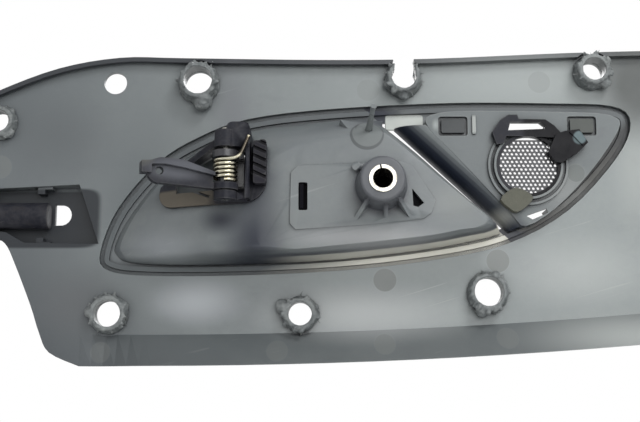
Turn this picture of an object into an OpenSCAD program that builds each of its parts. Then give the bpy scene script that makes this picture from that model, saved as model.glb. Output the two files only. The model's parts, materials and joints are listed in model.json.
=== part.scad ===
// Inside door handle set in its trim panel, seen from the door side at azimuth 0.
// X runs along the car, Y points into the cabin and Z is up. The origin is on the
// axis of the fixing screw, at the end face of its boss.

/* [Panel] */
// Wall thickness of the trim panel
panel_wall = 2.5; // [2:0.1:3.2]
// Left end of the panel from the screw axis
panel_left = 180; // [176:1:190]
// Right end of the panel from the screw axis
panel_right = 122; // [116:1:130]
// Height of the lip along the top edge
lip_height = 3.5; // [1:0.5:6]
// Thickness of the lip along the top edge
lip_wall = 2; // [1.2:0.1:2.6]
// Width of the bent flange along the lower edge, seen square on
flange_width = 13.2; // [10:0.1:16]
// Rise of the bent flange towards the door
flange_rise = 11.5; // [6:0.5:14]
// Gap between the opening of the panel and the bezel
opening_gap = 1.8; // [1:0.1:2.4]
// Depth of the pocket at the left end
pocket_depth = 7; // [5:0.5:9]

/* [Bezel] */
// Thickness of the bezel's front flange
bezel_wall = 2; // [1.6:0.1:2.6]
// How far the front flange overlaps the panel
bezel_overlap = 2.4; // [1.5:0.1:4]
// Width of the rim bead
bead_width = 2.1; // [1.5:0.1:2.6]
// Height of the rim bead above the flange
bead_height = 1.4; // [0.8:0.1:2]
// Height of the tweeter plate above the flange
plate_height = 8.5; // [6:0.5:10]
// Width of the diagonal roll
roll_width = 8; // [6:0.5:9]

/* [Cup] */
// Depth of the finger cup from its rim to its floor
cup_depth = 25.5; // [22:0.5:28]
// Wall thickness of the cup
cup_wall = 2.2; // [1.6:0.1:2.6]
// Height of the screw boss above the cup floor
boss_height = 15; // [10:0.5:18]
// Radius of the screw boss at its end face
boss_radius = 9.2; // [8.4:0.1:10]
// Height of the pad that the boss stands on
pad_height = 0.8; // [0.4:0.1:1.2]

/* [Screw sleeve] */
// Outer radius of the steel sleeve
sleeve_radius = 5.45; // [5:0.05:6]
// Bore radius of the steel sleeve
sleeve_bore = 4; // [3.2:0.1:4.4]
// Width of the split in the sleeve
sleeve_split = 0.7; // [0.3:0.1:1.2]

/* [Hinge] */
// Radius of the hinge pin
pin_radius = 1.5; // [1:0.1:1.8]
// Running clearance round the hinge pin
pin_clearance = 0.05; // [0.03:0.01:0.1]
// Outer radius of the knuckles
knuckle_radius = 4.6; // [4:0.1:5.2]
// Distance of the hinge pin behind the cup rim
pin_stand = 30.5; // [29:0.5:33]
// Height of the lever hub along the pin
hub_height = 16; // [14:0.5:18]
// Length of the crank arm from the pin to its eye
crank_length = 27; // [22:0.5:30]

/* [Return spring] */
// Wire radius of the return spring
wire_radius = 0.7; // [0.5:0.05:0.85]
// Outer radius of the spring coil
coil_radius = 5; // [4.6:0.1:5.2]
// Number of turns
coil_turns = 5; // [4:1:5]

/* [Lever] */
// Thickness of the lever plate
lever_wall = 3; // [2.4:0.1:4]
// Depth of the finger lip behind the lever plate
lever_lip = 6; // [3:0.5:9]

/* [Tweeter grille] */
// Radius of the mesh disc
mesh_radius = 13.6; // [12:0.1:14]
// Thickness of the mesh
mesh_wall = 0.8; // [0.5:0.1:1.2]
// Spacing of the holes in the mesh
mesh_pitch = 1.9; // [1.8:0.1:2.6]
// Width of the mesh's holes
mesh_hole = 1.25; // [0.8:0.05:1.35]

/* [Melted stakes] */
// Height of the stakes along the top edge
tall_stake = 8; // [6:0.5:10]
// Height of the stakes along the lower edge
short_stake = 5.5; // [4:0.5:8]
// Wall of a stake round its bore
stake_wall = 3; // [2:0.1:4]

/* [Hidden] */

// Depths along Y, counted from the end face of the boss
floor_y = boss_height;
rim_y = floor_y + cup_depth;
panel_back = rim_y - panel_wall;
bezel_front = rim_y + bezel_wall;
plate_y = rim_y - plate_height;

// Fold line of the lower flange, and where the fold fades out at the left
flange_start = 125;
flange_fade = 32;
fold_low = -58.8;
fold_low_x = -95;
fold_bow = 0.00021;

// Outline of the leaf-shaped opening, anticlockwise from its lower left corner
leaf_points = [[-113, -30.3], [-96, -32.3], [-58, -32.1], [-16, -30], [22, -25.7], [54, -18.8],
    [80, -4.6], [101, 17.6], [107.6, 32], [101, 38], [75, 39.1], [32, 39.3], [-20, 36.6],
    [-55, 32.2], [-76, 24.3], [-93, 13.3], [-109, -6], [-115.8, -24]];
// Top edge of the panel from right to left
top_points = [[panel_right, 63.6], [82, 62.5], [21.5, 59.9], [-25, 59.4], [-84, 60.2],
    [-111, 60.4], [-137.5, 55.6], [-163.6, 45.4], [-panel_left, 36.5]];
// Lower left corner of the panel, from the left end to the start of the flange
corner_points = [[-panel_left, -17], [-164, -18.2], [-158, -20.5], [-153.3, -29.5], [-146, -46.8],
    [-142, -58], [-137.5, -66.2], [-flange_start, fold_height(-flange_start) - flange_width]];
pocket_points = [[-167, -14.5], [-158, -15.5], [-150, -20], [-118.5, -20.5], [-127.5, 5.1],
    [-167, 3]];
pocket_wall = 1.5;
// Stepped blocks above and below the end spigot
step_height = 5.5;
upper_steps = [[-145.5, 5.4], [-145.5, 1.2], [-142.4, 1.2], [-142.4, 3.2], [-139.2, 3.2], [-139.2, 5.4]];
lower_steps = [[-145.5, -20.8], [-139.2, -20.8], [-139.2, -19.4], [-142.4, -19.4], [-142.4, -17.6],
    [-145.5, -17.6]];

// Melted stakes: place along X and Z, radius of the bore, and height
stakes = [[-77, 49.3, 6, tall_stake], [11.3, 51, 5.2, tall_stake], [93, 54.3, 4.9, tall_stake],
    [-113, -50.3, 5.5, short_stake], [-33, -50.3, 4.9, short_stake], [45.6, -41.2, 6, short_stake],
    [-162.5, 32, 4.7, short_stake]];
// The stake whose edge is broken out, and the outline of the break about its axis
broken_stake = 1;
break_outline = [[-4.6, 0], [4.2, 0], [5, 7], [3.4, 14], [-5.4, 14], [-3.9, 6]];
// Plain hole and the D-shaped hole in the pocket: place along X and Z, and radius
plain_hole = [-113.5, 50, 4.9];
d_hole = [-136.5, -7, 4.6];
d_hole_flat = 2.5;

// Direction of the diagonal between the cup and the tweeter plate
diag_angle = 43.3;
crest_x = 20.8;
crest_z = 28;
// Distance of the cup's edge from the crest of the roll, square to the diagonal
cup_edge_gap = 10;

// Hinge axis
hinge_x = -62.7;
hinge_y = rim_y - pin_stand;
hub_low = -3;
hub_radius = coil_radius - 2 * wire_radius - 0.5;
knuckle_gap = 0.4;
bracket_wall = 1.6;
upper_knuckle = 8;
lower_knuckle = 3.5;
flange_thick = 2.8;
hub_high = hub_low + hub_height;
coil_low = hub_low + flange_thick + 0.3;
coil_length = hub_height - 2 * flange_thick - 0.6;

// Slanted web of the bracket, from the upper knuckle down to the left
web_from = [-64, 18.2];
web_angle = 31.5;
web_length = 22;
web_wall = 2.4;

// Opening that the lever's root passes through, cut off by the slanted web
root_left = -84.5;
root_right = -55.2;
root_margin = 1.5;
root_gap = 1.1;
root_bottom = hub_low + flange_thick - root_gap;
root_top = hub_high + root_margin;
function web_height(x) = web_from.y + (x - web_from.x) * tan(web_angle);
root_outline = [[root_left, root_bottom], [root_right, root_bottom], [root_right, root_top],
    [web_from.x - (web_from.y - root_top) / tan(web_angle), root_top], [root_left, web_height(root_left)]];

// Grille: its centre, its clearance, the solid border of the mesh, and the chords that cut off
// the top of the mesh and of the ring walls
mesh_x = 63.2;
mesh_z = 11.9;
mesh_gap = 0.05;
mesh_border = 1.6;
mesh_chord_z = 11;
ring_gap_z = 9.5;
// Retainer of the mesh, with its snap arm at the upper left and its wedge at the right
retainer_height = 1.4;
retainer_width = 1.4;
snap_height = 2.6;
snap_outline = [[49.8, 20.5], [48, 25.8], [51.6, 31.2], [55, 33.4], [58.8, 33.4], [59.4, 31.5],
    [70.6, 31.3], [74.4, 28.6], [77.5, 25], [74.5, 23.4], [54, 24.2], [52.6, 20.8]];
// Window of the snap arm, and how much higher the slot behind it in the plate lies
snap_window = [[54.8, 26.6], [70, 27.2], [70.6, 28.6], [68.6, 30.2], [55.8, 30.2]];
snap_slot_lift = 0.6;
wedge_height = 4;
wedge_outline = [[71, 17], [74.6, 24.6], [78.5, 26], [84.5, 26.7], [88, 21], [84.1, 17.2], [76.8, 12.4],
    [74, 12.4]];
// Tile on the outer end of the wedge
tile_height = 0.7;
tile_outline = [[80.2, 25.4], [84, 26.4], [87.4, 21], [85.6, 19.6]];
// Foam pad that lies over the ring walls below the grille
foam_height = 3.4;
foam_flap = 0.9;
foam_points = [[50.8, -3.2], [54.6, -7], [57.6, -8.4], [61.8, -5.8], [64.4, -2.4], [61.8, 0.2],
    [57.4, 2], [53.4, 0]];

seat_gap = 0.3;
stake_flare = 0.6;

// Smooth curves

function unit(v) = v / norm(v);

function curve_point(a, b, c, d, t) =
    0.5 * (2 * b + (c - a) * t + (2 * a - 5 * b + 4 * c - d) * t * t
        + (3 * b - a - 3 * c + d) * t * t * t);

// Closed smooth curve through points, with a number of steps between two of them
function smooth_loop(p, steps) = [
    for (i = [0 : len(p) - 1], k = [0 : steps - 1])
        curve_point(p[(i + len(p) - 1) % len(p)], p[i], p[(i + 1) % len(p)],
            p[(i + 2) % len(p)], k / steps)];

// Open smooth curve through points
function smooth_run(p, steps) = concat([
    for (i = [0 : len(p) - 2], k = [0 : steps - 1])
        curve_point(p[max(i - 1, 0)], p[i], p[i + 1], p[min(i + 2, len(p) - 1)], k / steps)],
    [p[len(p) - 1]]);

// Anticlockwise outline moved inwards by a distance, or outwards where it is negative
function inset(p, d) = [
    for (i = [0 : len(p) - 1])
        let (along = unit(p[(i + 1) % len(p)] - p[(i + len(p) - 1) % len(p)]))
        p[i] + d * [-along.y, along.x]];

// The same, without the points that would cross over in a tight corner
function deep_inset(p, d) = [
    for (v = inset(p, d)) if (min([for (w = p) norm(v - w)]) > 0.96 * d) v];

function reversed(p) = [for (i = [len(p) - 1 : -1 : 0]) p[i]];

function arc_points(cx, cy, r, from, to, steps) = [
    for (i = [0 : steps])
        [cx + r * cos(from + (to - from) * i / steps), cy + r * sin(from + (to - from) * i / steps)]];

function rounded_box(x0, z0, x1, z1, r, steps = 4) = concat(
    arc_points(x0 + r, z0 + r, r, 180, 270, steps), arc_points(x1 - r, z0 + r, r, 270, 360, steps),
    arc_points(x1 - r, z1 - r, r, 0, 90, steps), arc_points(x0 + r, z1 - r, r, 90, 180, steps));

// Height of the fold line of the lower flange
function fold_height(x) = fold_low + fold_bow * pow(x - fold_low_x, 2);

leaf = smooth_loop(leaf_points, 4);

// An outline in the XZ plane, drawn from y0 to y1
module slab(y0, y1, outline) {
    translate([0, y1, 0]) rotate([90, 0, 0]) linear_extrude(y1 - y0) polygon(outline);
}

// A round bar along Y
module bar(x, z, r, y0, y1, r_end = 0) {
    translate([x, y1, z]) rotate([90, 0, 0])
        cylinder(h = y1 - y0, r1 = r, r2 = r_end > 0 ? r_end : r, $fn = 48);
}

// Closed solid through a list of rings with equal numbers of points. A ring runs
// anticlockwise when it is seen from the side that the rings go on towards.
module ring_loft(rings) {
    n = len(rings[0]);
    last = len(rings) - 1;
    points = [for (ring = rings) each ring];
    sides = [for (k = [0 : last - 1], i = [0 : n - 1], half = [0, 1])
        let (j = (i + 1) % n, low = k * n, high = low + n)
        half == 0 ? [low + i, high + j, low + j] : [low + i, high + i, high + j]];
    polyhedron(points, concat(sides, [[for (i = [0 : n - 1]) i]],
        [[for (i = [n - 1 : -1 : 0]) last * n + i]]), convexity = 6);
}

// Places along the diagonal: x runs down it and z square to it, towards the tweeter
module on_diagonal() {
    translate([crest_x, 0, crest_z]) rotate([0, diag_angle, 0]) children();
}

// Trim panel

module stake_holes(y0, y1) {
    for (s = stakes) bar(s[0], s[1], s[2], y0, y1);
}

// Piece broken out of the top edge above the middle stake
module broken_gap(y0, y1) {
    s = stakes[broken_stake];
    slab(y0, y1, [for (v = break_outline) [s[0] + v.x, s[1] + v.y]]);
}

// Places along the fold where the flange's sections stand
flange_x = [-flange_start, for (k = [1 : 6]) -flange_start + k * flange_fade / 6,
    for (k = [1 : 12]) -flange_start + flange_fade
        + k * (panel_right + flange_start - flange_fade) / 12];

panel_outline = concat(smooth_run(corner_points, 4), [for (x = flange_x) [x, fold_height(x)]],
    smooth_run(top_points, 4));

function flange_ring(x) =
    let (lift = flange_rise * pow(sin(90 * min(1, (x + flange_start) / flange_fade)), 2),
        z = fold_height(x), y = panel_back)
    [[x, y, z], [x, y - lift, z - flange_width], [x, y + panel_wall - lift, z - flange_width],
        [x, y + panel_wall, z]];

module lower_flange() {
    ring_loft([for (x = flange_x) flange_ring(x)]);
}

module edge_lip(edge, side) {
    run = smooth_run(edge, 4);
    inner = [for (i = [0 : len(run) - 1])
        let (along = unit(run[min(i + 1, len(run) - 1)] - run[max(i - 1, 0)]))
        run[i] + side * lip_wall * [-along.y, along.x]];
    slab(panel_back - lip_height, panel_back + 0.5, concat(run, reversed(inner)));
}

// Outside of the pocket at the left end, grown by a gap
module pocket_block(gap) {
    slab(panel_back, panel_back + pocket_depth + panel_wall + gap, inset(pocket_points, -pocket_wall - gap));
}

module trim_panel() {
    pocket_floor = panel_back + pocket_depth;
    color("dimgray") for (steps = [upper_steps, lower_steps])
        slab(pocket_floor - step_height, pocket_floor + 0.5, steps);
    color("dimgray") difference() {
        union() {
            slab(panel_back, rim_y, panel_outline);
            lower_flange();
            intersection() {
                edge_lip(top_points, 1);
                slab(0, rim_y, panel_outline);
            }
            pocket_block(0);
        }
        slab(panel_back - 1, rim_y + 1, inset(leaf, -opening_gap));
        stake_holes(panel_back - 1, rim_y + 1);
        broken_gap(panel_back - lip_height - 1, rim_y + 1);
        // The lip stops short of the stakes
        for (s = stakes)
            bar(s[0], s[1], s[2] + stake_wall + stake_flare + seat_gap, panel_back - 10, panel_back);
        bar(plain_hole[0], plain_hole[1], plain_hole[2], panel_back - 1, rim_y + 1);
        slab(panel_back - 1, pocket_floor, pocket_points);
        // D-shaped hole in the floor of the pocket
        slab(panel_back, rim_y + pocket_depth + 1, concat(
            [for (side = [1, -1]) [d_hole[0] - d_hole_flat, d_hole[1] + side * d_hole[2]]],
            arc_points(d_hole[0], d_hole[1], d_hole[2], -80, 80, 8)));
    }
}

// Bezel frame with the tweeter plate

// Outline of the tweeter plate, and of the slanted slot below the grille
plate_points = [[55, -8], [61.5, -13.8], [74.6, -6], [88, 7.5], [98, 20.5], [103.2, 30],
    [100.5, 33.5], [93, 35], [75, 35.6], [50, 36], [30, 35.6], [20.6, 33], [22.8, 26.8], [31.4, 18]];
slot_outline = [[61.8, -9.5], [70.5, -6.4], [71.2, -8.2], [64.5, -11]];
// Ring walls round the grille: distance outside the mesh, and height
ring_walls = [[0, 2.2], [2.4, 1.3]];
ring_wall_thick = 1;
// Clip windows: places, half sizes of the recess, its depth, and the block inside it
clip_windows = [[31.9, 29.2], [86.7, 29.3]];
clip_half = [6.2, 4.2];
clip_depth = 1.4;
clip_gap = 1.2;
block_height = 0.4;
// Upright rib beside the first clip window
plate_rib = [40.8, 29.8];
plate_rib_half = [0.8, 4.2];
plate_rib_height = 0.8;
// Cheek of the front flange over the lever's hinged end: the edge of its back face and of its front
// face along X. The lever swings past between them
cheek_back = -70.5;
cheek_front = -67.4;
// Width of the flange round the window
front_width = 3.2;
bead_seat = 0.6;
// Ledge of the front flange above the upper end of the roll
ledge = [3.5, 29.8];

// The roll starts a hair below the face of the tweeter plate
roll_drop = 0.05;
roll_start = -30;
roll_length = 100;

module roll_profile(wall) {
    steps = 8;
    top = plate_height - roll_drop;
    outer = [for (i = [0 : steps]) [-roll_width * sin(90 * i / steps), top * cos(90 * i / steps)]];
    inner = [for (i = [steps : -1 : 0])
        [-(roll_width - wall) * sin(90 * i / steps), (top - wall) * cos(90 * i / steps)]];
    polygon(concat([[1, top]], outer, inner, [[1, top - wall]]));
}

// The diagonal roll drops from the tweeter plate to the flange
module diagonal_roll() {
    intersection() {
        on_diagonal() translate([roll_start, rim_y, 0]) rotate([0, 90, 0]) linear_extrude(roll_length)
            rotate([0, 0, 180]) roll_profile(bezel_wall);
        slab(plate_y - 1, bezel_front, deep_inset(leaf, bead_width + bead_seat));
        translate([0, 0, ledge.y - panel_right]) cube([panel_right, bezel_front, panel_right]);
    }
}

module bezel_window(y0, y1) {
    difference() {
        intersection() {
            slab(y0, y1, deep_inset(leaf, bead_width + front_width));
            on_diagonal() translate([-panel_right, y0, -roll_width - panel_right])
                cube([2 * panel_right, y1 - y0, panel_right]);
        }
        cheek();
        translate([ledge.x, y0 - 1, ledge.y]) cube([panel_right, y1 - y0 + 2, panel_right]);
    }
}

module cheek() {
    translate([0, 0, -panel_left / 2]) linear_extrude(panel_left)
        polygon([[-panel_left, rim_y - 2], [cheek_back, rim_y - 2], [cheek_back, rim_y],
            [cheek_front, bezel_front], [cheek_front, bezel_front + 2], [-panel_left, bezel_front + 2]]);
}

// A rounded block on the tweeter plate, about a point
module plate_block(at, half, height, r) {
    slab(plate_y - height, plate_y + 0.5, rounded_box(at.x - half.x, at.y - half.y, at.x + half.x,
        at.y + half.y, r));
}

// Recess of a clip window, and the block that stands in it
module clip_recess(at) {
    slab(plate_y - 1, plate_y + clip_depth, rounded_box(at.x - clip_half.x, at.y - clip_half.y,
        at.x + clip_half.x, at.y + clip_half.y, 1.2));
}

module clip_post(at) {
    half = clip_half - [clip_gap, clip_gap];
    slab(plate_y - block_height, plate_y + clip_depth + 0.2, rounded_box(at.x - half.x, at.y - half.y,
        at.x + half.x, at.y + half.y, 0.8));
}

module bezel_frame() {
    color("darkslategray") difference() {
        union() {
            difference() {
                slab(rim_y, bezel_front, inset(leaf, -opening_gap - bezel_overlap));
                bezel_window(rim_y - 1, bezel_front + 1);
                slab(rim_y - 1, bezel_front + 1, inset(smooth_loop(plate_points, 3), bezel_wall));
            }
            difference() {
                slab(rim_y - bead_height, rim_y + 0.5, leaf);
                slab(rim_y - bead_height - 1, rim_y + 1, inset(leaf, bead_width));
            }
            difference() {
                slab(plate_y, bezel_front, smooth_loop(plate_points, 3));
                slab(plate_y + bezel_wall, bezel_front + 1,
                    inset(smooth_loop(plate_points, 3), bezel_wall));
            }
            diagonal_roll();
            for (wall = ring_walls) ring_wall(mesh_radius + wall[0], wall[1]);
            plate_block(plate_rib, plate_rib_half, plate_rib_height, 0.4);
        }
        bar(mesh_x, mesh_z, mesh_radius - 1, plate_y - 5, bezel_front + 1);
        // Slanted slot under the grille, and the slot behind the snap arm
        slab(plate_y - 1, bezel_front + 1, slot_outline);
        slab(plate_y - 1, bezel_front + 1, [for (v = snap_window) v + [0, snap_slot_lift]]);
        for (at = clip_windows) clip_recess(at);
        pocket_block(seat_gap);
    }
    color("darkslategray") for (at = clip_windows) clip_post(at);
}

// A ring round the grille, open at the top
module ring_wall(r, h) {
    difference() {
        bar(mesh_x, mesh_z, r + ring_wall_thick, plate_y - h, plate_y + 0.5);
        bar(mesh_x, mesh_z, r, plate_y - h - 1, plate_y + 1);
        translate([mesh_x - mesh_radius, plate_y - h - 1, mesh_z + ring_gap_z])
            cube([2 * mesh_radius, h + 1, mesh_radius]);
    }
}

module tweeter_mesh() {
    row_pitch = mesh_pitch * sqrt(3) / 2;
    rows = ceil(mesh_radius / row_pitch);
    columns = ceil(mesh_radius / mesh_pitch) + 1;
    seat_y = plate_y - mesh_wall;
    color("black") difference() {
        bar(mesh_x, mesh_z, mesh_radius - mesh_gap, seat_y, plate_y);
        for (j = [-rows : rows], i = [-columns : columns]) {
            x = (i + (abs(j) % 2) / 2) * mesh_pitch;
            z = j * row_pitch;
            if (norm([x, z]) < mesh_radius - mesh_border)
                translate([mesh_x + x, plate_y + 1, mesh_z + z]) rotate([90, 0, 0])
                    cylinder(h = mesh_wall + 2, d = mesh_hole, $fn = 6);
        }
        translate([mesh_x - mesh_radius, seat_y - 1, mesh_z + mesh_chord_z])
            cube([2 * mesh_radius, mesh_wall + 2, mesh_radius]);
    }
}

// Room for a ring wall, cut from what passes over it
module ring_room(wall) {
    r = mesh_radius + wall[0];
    difference() {
        bar(mesh_x, mesh_z, r + ring_wall_thick + seat_gap, plate_y - wall[1] - seat_gap, plate_y);
        bar(mesh_x, mesh_z, r - mesh_gap, plate_y - wall[1] - 1, plate_y + 1);
    }
}

module mesh_retainer() {
    y1 = plate_y - mesh_wall;
    color("black") difference() {
        union() {
            bar(mesh_x, mesh_z, mesh_radius - 2 * mesh_gap, y1 - retainer_height, y1);
            slab(y1 - snap_height, y1, snap_outline);
            slab(y1 - wedge_height, y1, wedge_outline);
            slab(y1 - wedge_height - tile_height, y1, tile_outline);
        }
        slab(y1 - snap_height - 1, y1 + 1, snap_window);
        difference() {
            bar(mesh_x, mesh_z, mesh_radius - retainer_width, y1 - wedge_height - 1, y1 + 1);
            slab(y1 - wedge_height - 1, y1 + 1, wedge_outline);
        }
        for (wall = ring_walls) ring_room(wall);
    }
}

module foam_pad() {
    outer_wall = ring_walls[len(ring_walls) - 1];
    color("rosybrown") difference() {
        slab(plate_y - foam_height, plate_y, smooth_loop(foam_points, 2));
        bar(mesh_x, mesh_z, mesh_radius + outer_wall[0] + ring_wall_thick + seat_gap,
            plate_y - foam_height + foam_flap, plate_y + 1);
    }
}

// Finger cup

function diag_point(along, across) =
    [crest_x + along * cos(diag_angle) - across * sin(diag_angle),
        crest_z - along * sin(diag_angle) - across * cos(diag_angle)];

// Rim of the cup, and the edge of its floor, point for point
cup_rim = [[-106, -28.2], [-90, -29.4], [-58, -29.2], [-16, -27.1], [20, -22.9], [40, -19.2],
    [49, -17], diag_point(51.5, cup_edge_gap), diag_point(36, cup_edge_gap),
    diag_point(18, cup_edge_gap), diag_point(2, cup_edge_gap), [1.5, 31], [-3.5, 33.9],
    [-16, 33.8], [-34, 31.8], [-56, 28.8], [-74.5, 21.6], [-91, 10.5], [-105, -7], [-111.8, -20.5],
    [-110.8, -25.4]];
cup_floor = [[-47, -25.4], [-41, -26], [-33, -25.8], [-16, -24.2], [18, -20.6], [32, -18],
    [39.5, -16.8], diag_point(44, cup_edge_gap + 4.6), diag_point(34, cup_edge_gap + 5.2),
    diag_point(18, cup_edge_gap + 6), diag_point(6, cup_edge_gap + 6.4), [3.5, 20.2], [-1, 21.8],
    [-12, 20.4], [-24, 18.5], [-34, 16], [-42, 12], [-47, 6], [-50, -6], [-51, -18],
    [-50, -22.6]];
cup_bulge = 1.5;

// One ring of the cup wall, at a share of the way from the rim to the floor
function cup_ring(rim, floor_edge, y_rim, y_floor, t) = [
    for (i = [0 : len(rim) - 1])
        let (plan = 1 - pow(cos(90 * t), cup_bulge), depth = pow(sin(90 * t), cup_bulge),
            p = rim[i] + (floor_edge[i] - rim[i]) * plan)
        [p.x, y_rim + (y_floor - y_rim) * depth, p.y]];

cup_steps = 6;
function cup_wall_rings(shrink, y_floor) =
    let (rim = inset(smooth_loop(cup_rim, 3), shrink), edge = inset(smooth_loop(cup_floor, 3), shrink))
    [for (k = [0 : cup_steps]) cup_ring(rim, edge, rim_y, y_floor, k / cup_steps)];

// The whole body of the cup, for trimming what seats on it
module cup_body() {
    ring_loft(cup_wall_rings(0, floor_y));
}

module cup_shell() {
    ring_loft(concat(reversed(cup_wall_rings(cup_wall, floor_y + cup_wall)),
        cup_wall_rings(0, floor_y)));
}

// Gussets of the boss: direction, and how far each reaches from the screw axis
boss_ribs = [[37, 17.6], [-8, 13.6], [-43, 18]];
rib_wall = 1.6;
rib_top = 4;

module boss_rib(angle, reach) {
    rotate([0, angle, 0]) rotate([0, -90, 0]) translate([0, 0, -rib_wall / 2])
        linear_extrude(rib_wall)
        polygon([[-boss_radius + 1, rib_top], [-boss_radius - 1.2, rib_top], [-reach, floor_y],
            [-reach, floor_y + 1], [-boss_radius + 1, floor_y + 1]]);
}

// Rounding of the boss's end face, growth of its wall towards the floor, and its foot fillet
boss_edge = 1.2;
boss_taper = 0.9;
boss_fillet = 2.5;

module screw_boss() {
    foot = boss_radius + boss_taper + boss_fillet;
    rotate([-90, 0, 0]) rotate_extrude($fn = 72) polygon(concat([[0, 0]],
        [for (a = [0 : 15 : 90])
            [boss_radius - boss_edge + boss_edge * sin(a), boss_edge - boss_edge * cos(a)]],
        [for (a = [0 : 18 : 90])
            [foot - boss_fillet * cos(a), floor_y - boss_fillet + boss_fillet * sin(a)]],
        [[foot, floor_y + 1], [0, floor_y + 1]]));
    for (rib = boss_ribs) boss_rib(rib[0], rib[1]);
}

// Locating pin: where it stands, how it leans, its round base, its taper and its flared tip
pin_spot = [-5, 22.2];
pin_depth = 4.8;
pin_lean = [-30, 0, 7];
// Tab that the pin's base stands on, in the plane of the base
tab_points = [[-5.6, -1.6], [5.6, -1.6], [7, 8], [-11, 8]];
pin_root = 4;
base_radius = 5.9;
base_height = 1.2;
pin_foot = 1.7;
pin_neck = 0.9;
pin_tip = 1.35;
neck_height = 14;
tip_height = 3;

module locating_pin() {
    translate([pin_spot.x, floor_y + pin_depth, pin_spot.y]) rotate(pin_lean) rotate([90, 0, 0]) {
        translate([0, 0, -pin_root]) cylinder(h = base_height + pin_root, r = base_radius, $fn = 48);
        translate([0, 0, -pin_root]) linear_extrude(pin_root + base_height / 2) polygon(tab_points);
        cylinder(h = neck_height, r1 = pin_foot, r2 = pin_neck, $fn = 32);
        translate([0, 0, neck_height]) cylinder(h = tip_height, r1 = pin_neck, r2 = pin_tip, $fn = 32);
    }
}

// Pad that the boss stands on, its small post, the slot and the three-cornered hole
pad_points = [[-36.9, -15.6], [-34.5, -18], [-5, -16], [17, -13.6], [20.4, -11.2], [22, -6.2],
    [13, 8], [8.5, 10], [-33.5, 8.1], [-36.5, 5.4]];
post = [-10, 7.4, 1.8];
post_height = 3.2;
cup_slot = [-33.4, -10.2, -29.8, 1.2];
corner_hole = [[12.6, -1.4], [13, -8.4], [15, -8.9], [17.3, -7.2]];

module handle_cup() {
    color("gray") difference() {
        union() {
            cup_shell();
            slab(floor_y - pad_height, floor_y + 1, pad_points);
            screw_boss();
            locating_pin();
            bar(post[0], post[1], post[2], floor_y - post_height, floor_y + 1);
        }
        bar(0, 0, sleeve_radius, -1, floor_y + cup_wall + 1);
        slab(floor_y - 2, floor_y + cup_wall + 1,
            rounded_box(cup_slot[0], cup_slot[1], cup_slot[2], cup_slot[3], 0.6));
        slab(floor_y - 2, floor_y + cup_wall + 1, corner_hole);
        root_opening();
    }
}

module root_opening() {
    slab(0, rim_y, root_outline);
}

// Hinge

// Outline of the bracket's base plate, and the slanted slit in it
bracket_outline = concat(arc_points(-86, -1, 6.2, 180, 270, 6),
    arc_points(-56, 2.5, 9.7, 270, 360, 8), arc_points(-49.8, 15.5, 3.5, 0, 90, 4),
    [[-63, 21.4], [web_from.x - 1, web_height(web_from.x - 1) + web_wall + 0.4],
        [-88, web_height(-88) + web_wall + 0.4], [-92, 2.4]]);
bracket_depth = 4;
bracket_slit = [[-77.6, -1.2], [-77.1, -0.3], [-69.8, -3.4], [-70.2, -4.4]];
// Upright wall beside the lever's root: gap, wall, reach in front of the pin, length and height
side_gap = 0.3;
side_wall = 2;
side_front = 1;
side_depth = 18;
side_height = hub_height + 8;
// Rounded shoulder between the upper knuckle and the wall, and the foot of the knuckles
shoulder_left = 0.4;
shoulder_height = 11.2;
shoulder_front = 3.4;
knuckle_left = 2;

module hinge_bracket() {
    color("black") difference() {
        union() {
            // Base plate that follows the back of the cup
            intersection() {
                slab(floor_y - bracket_depth, rim_y, bracket_outline);
                ring_loft(cup_wall_rings(-bracket_wall, floor_y - bracket_wall));
            }
            knuckle(hub_high + knuckle_gap, upper_knuckle);
            knuckle(hub_low - knuckle_gap - lower_knuckle, lower_knuckle);
            translate([root_right + side_gap, hinge_y - side_front, hub_low - 3])
                cube([side_wall, side_depth, side_height]);
            shoulder();
            slanted_web();
        }
        cup_body();
        root_opening();
        hinge_bore();
        // Room for the pin's head
        translate([hinge_x, hinge_y, hub_high + knuckle_gap + upper_knuckle])
            cylinder(h = hub_height, r = pin_radius + head_margin + head_gap, $fn = 48);
        slab(hinge_y, rim_y, bracket_slit);
    }
}

module knuckle(z, h) {
    translate([hinge_x, hinge_y, z]) {
        cylinder(h = h, r = knuckle_radius, $fn = 48);
        translate([-knuckle_left, 0, 0])
            cube([root_right + side_gap + side_wall / 2 - hinge_x + knuckle_left, rim_y - hinge_y, h]);
    }
}

module shoulder() {
    low = hub_high + knuckle_gap;
    slab(hinge_y - shoulder_front, rim_y, rounded_box(hinge_x + shoulder_left, low,
        root_right + side_gap + side_wall, low + shoulder_height, 2.4));
}

// The web's edge slopes back from the knuckle to the base plate
module slanted_web() {
    translate([web_from.x, 0, web_from.y]) rotate([0, -web_angle, 0]) linear_extrude(web_wall)
        polygon([[2, hinge_y + 1], [-web_length, floor_y + 8], [-web_length, rim_y - 4], [2, rim_y - 4]]);
}

module hinge_bore() {
    translate([hinge_x, hinge_y, -2 * hub_height])
        cylinder(h = 4 * hub_height, r = pin_radius + pin_clearance, $fn = 48);
}

// Head of the pin, above the upper knuckle
head_lift = 0.6;
head_height = 0.8;
head_margin = 0.7;
head_gap = 0.3;

module hinge_pin() {
    low = hub_low - knuckle_gap - lower_knuckle;
    high = hub_high + knuckle_gap + upper_knuckle;
    color("silver") translate([hinge_x, hinge_y, low]) {
        cylinder(h = high - low + head_lift, r = pin_radius, $fn = 48);
        translate([0, 0, high - low + head_lift])
            cylinder(h = head_height, r1 = pin_radius + head_margin, r2 = pin_radius, $fn = 48);
    }
}

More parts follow.
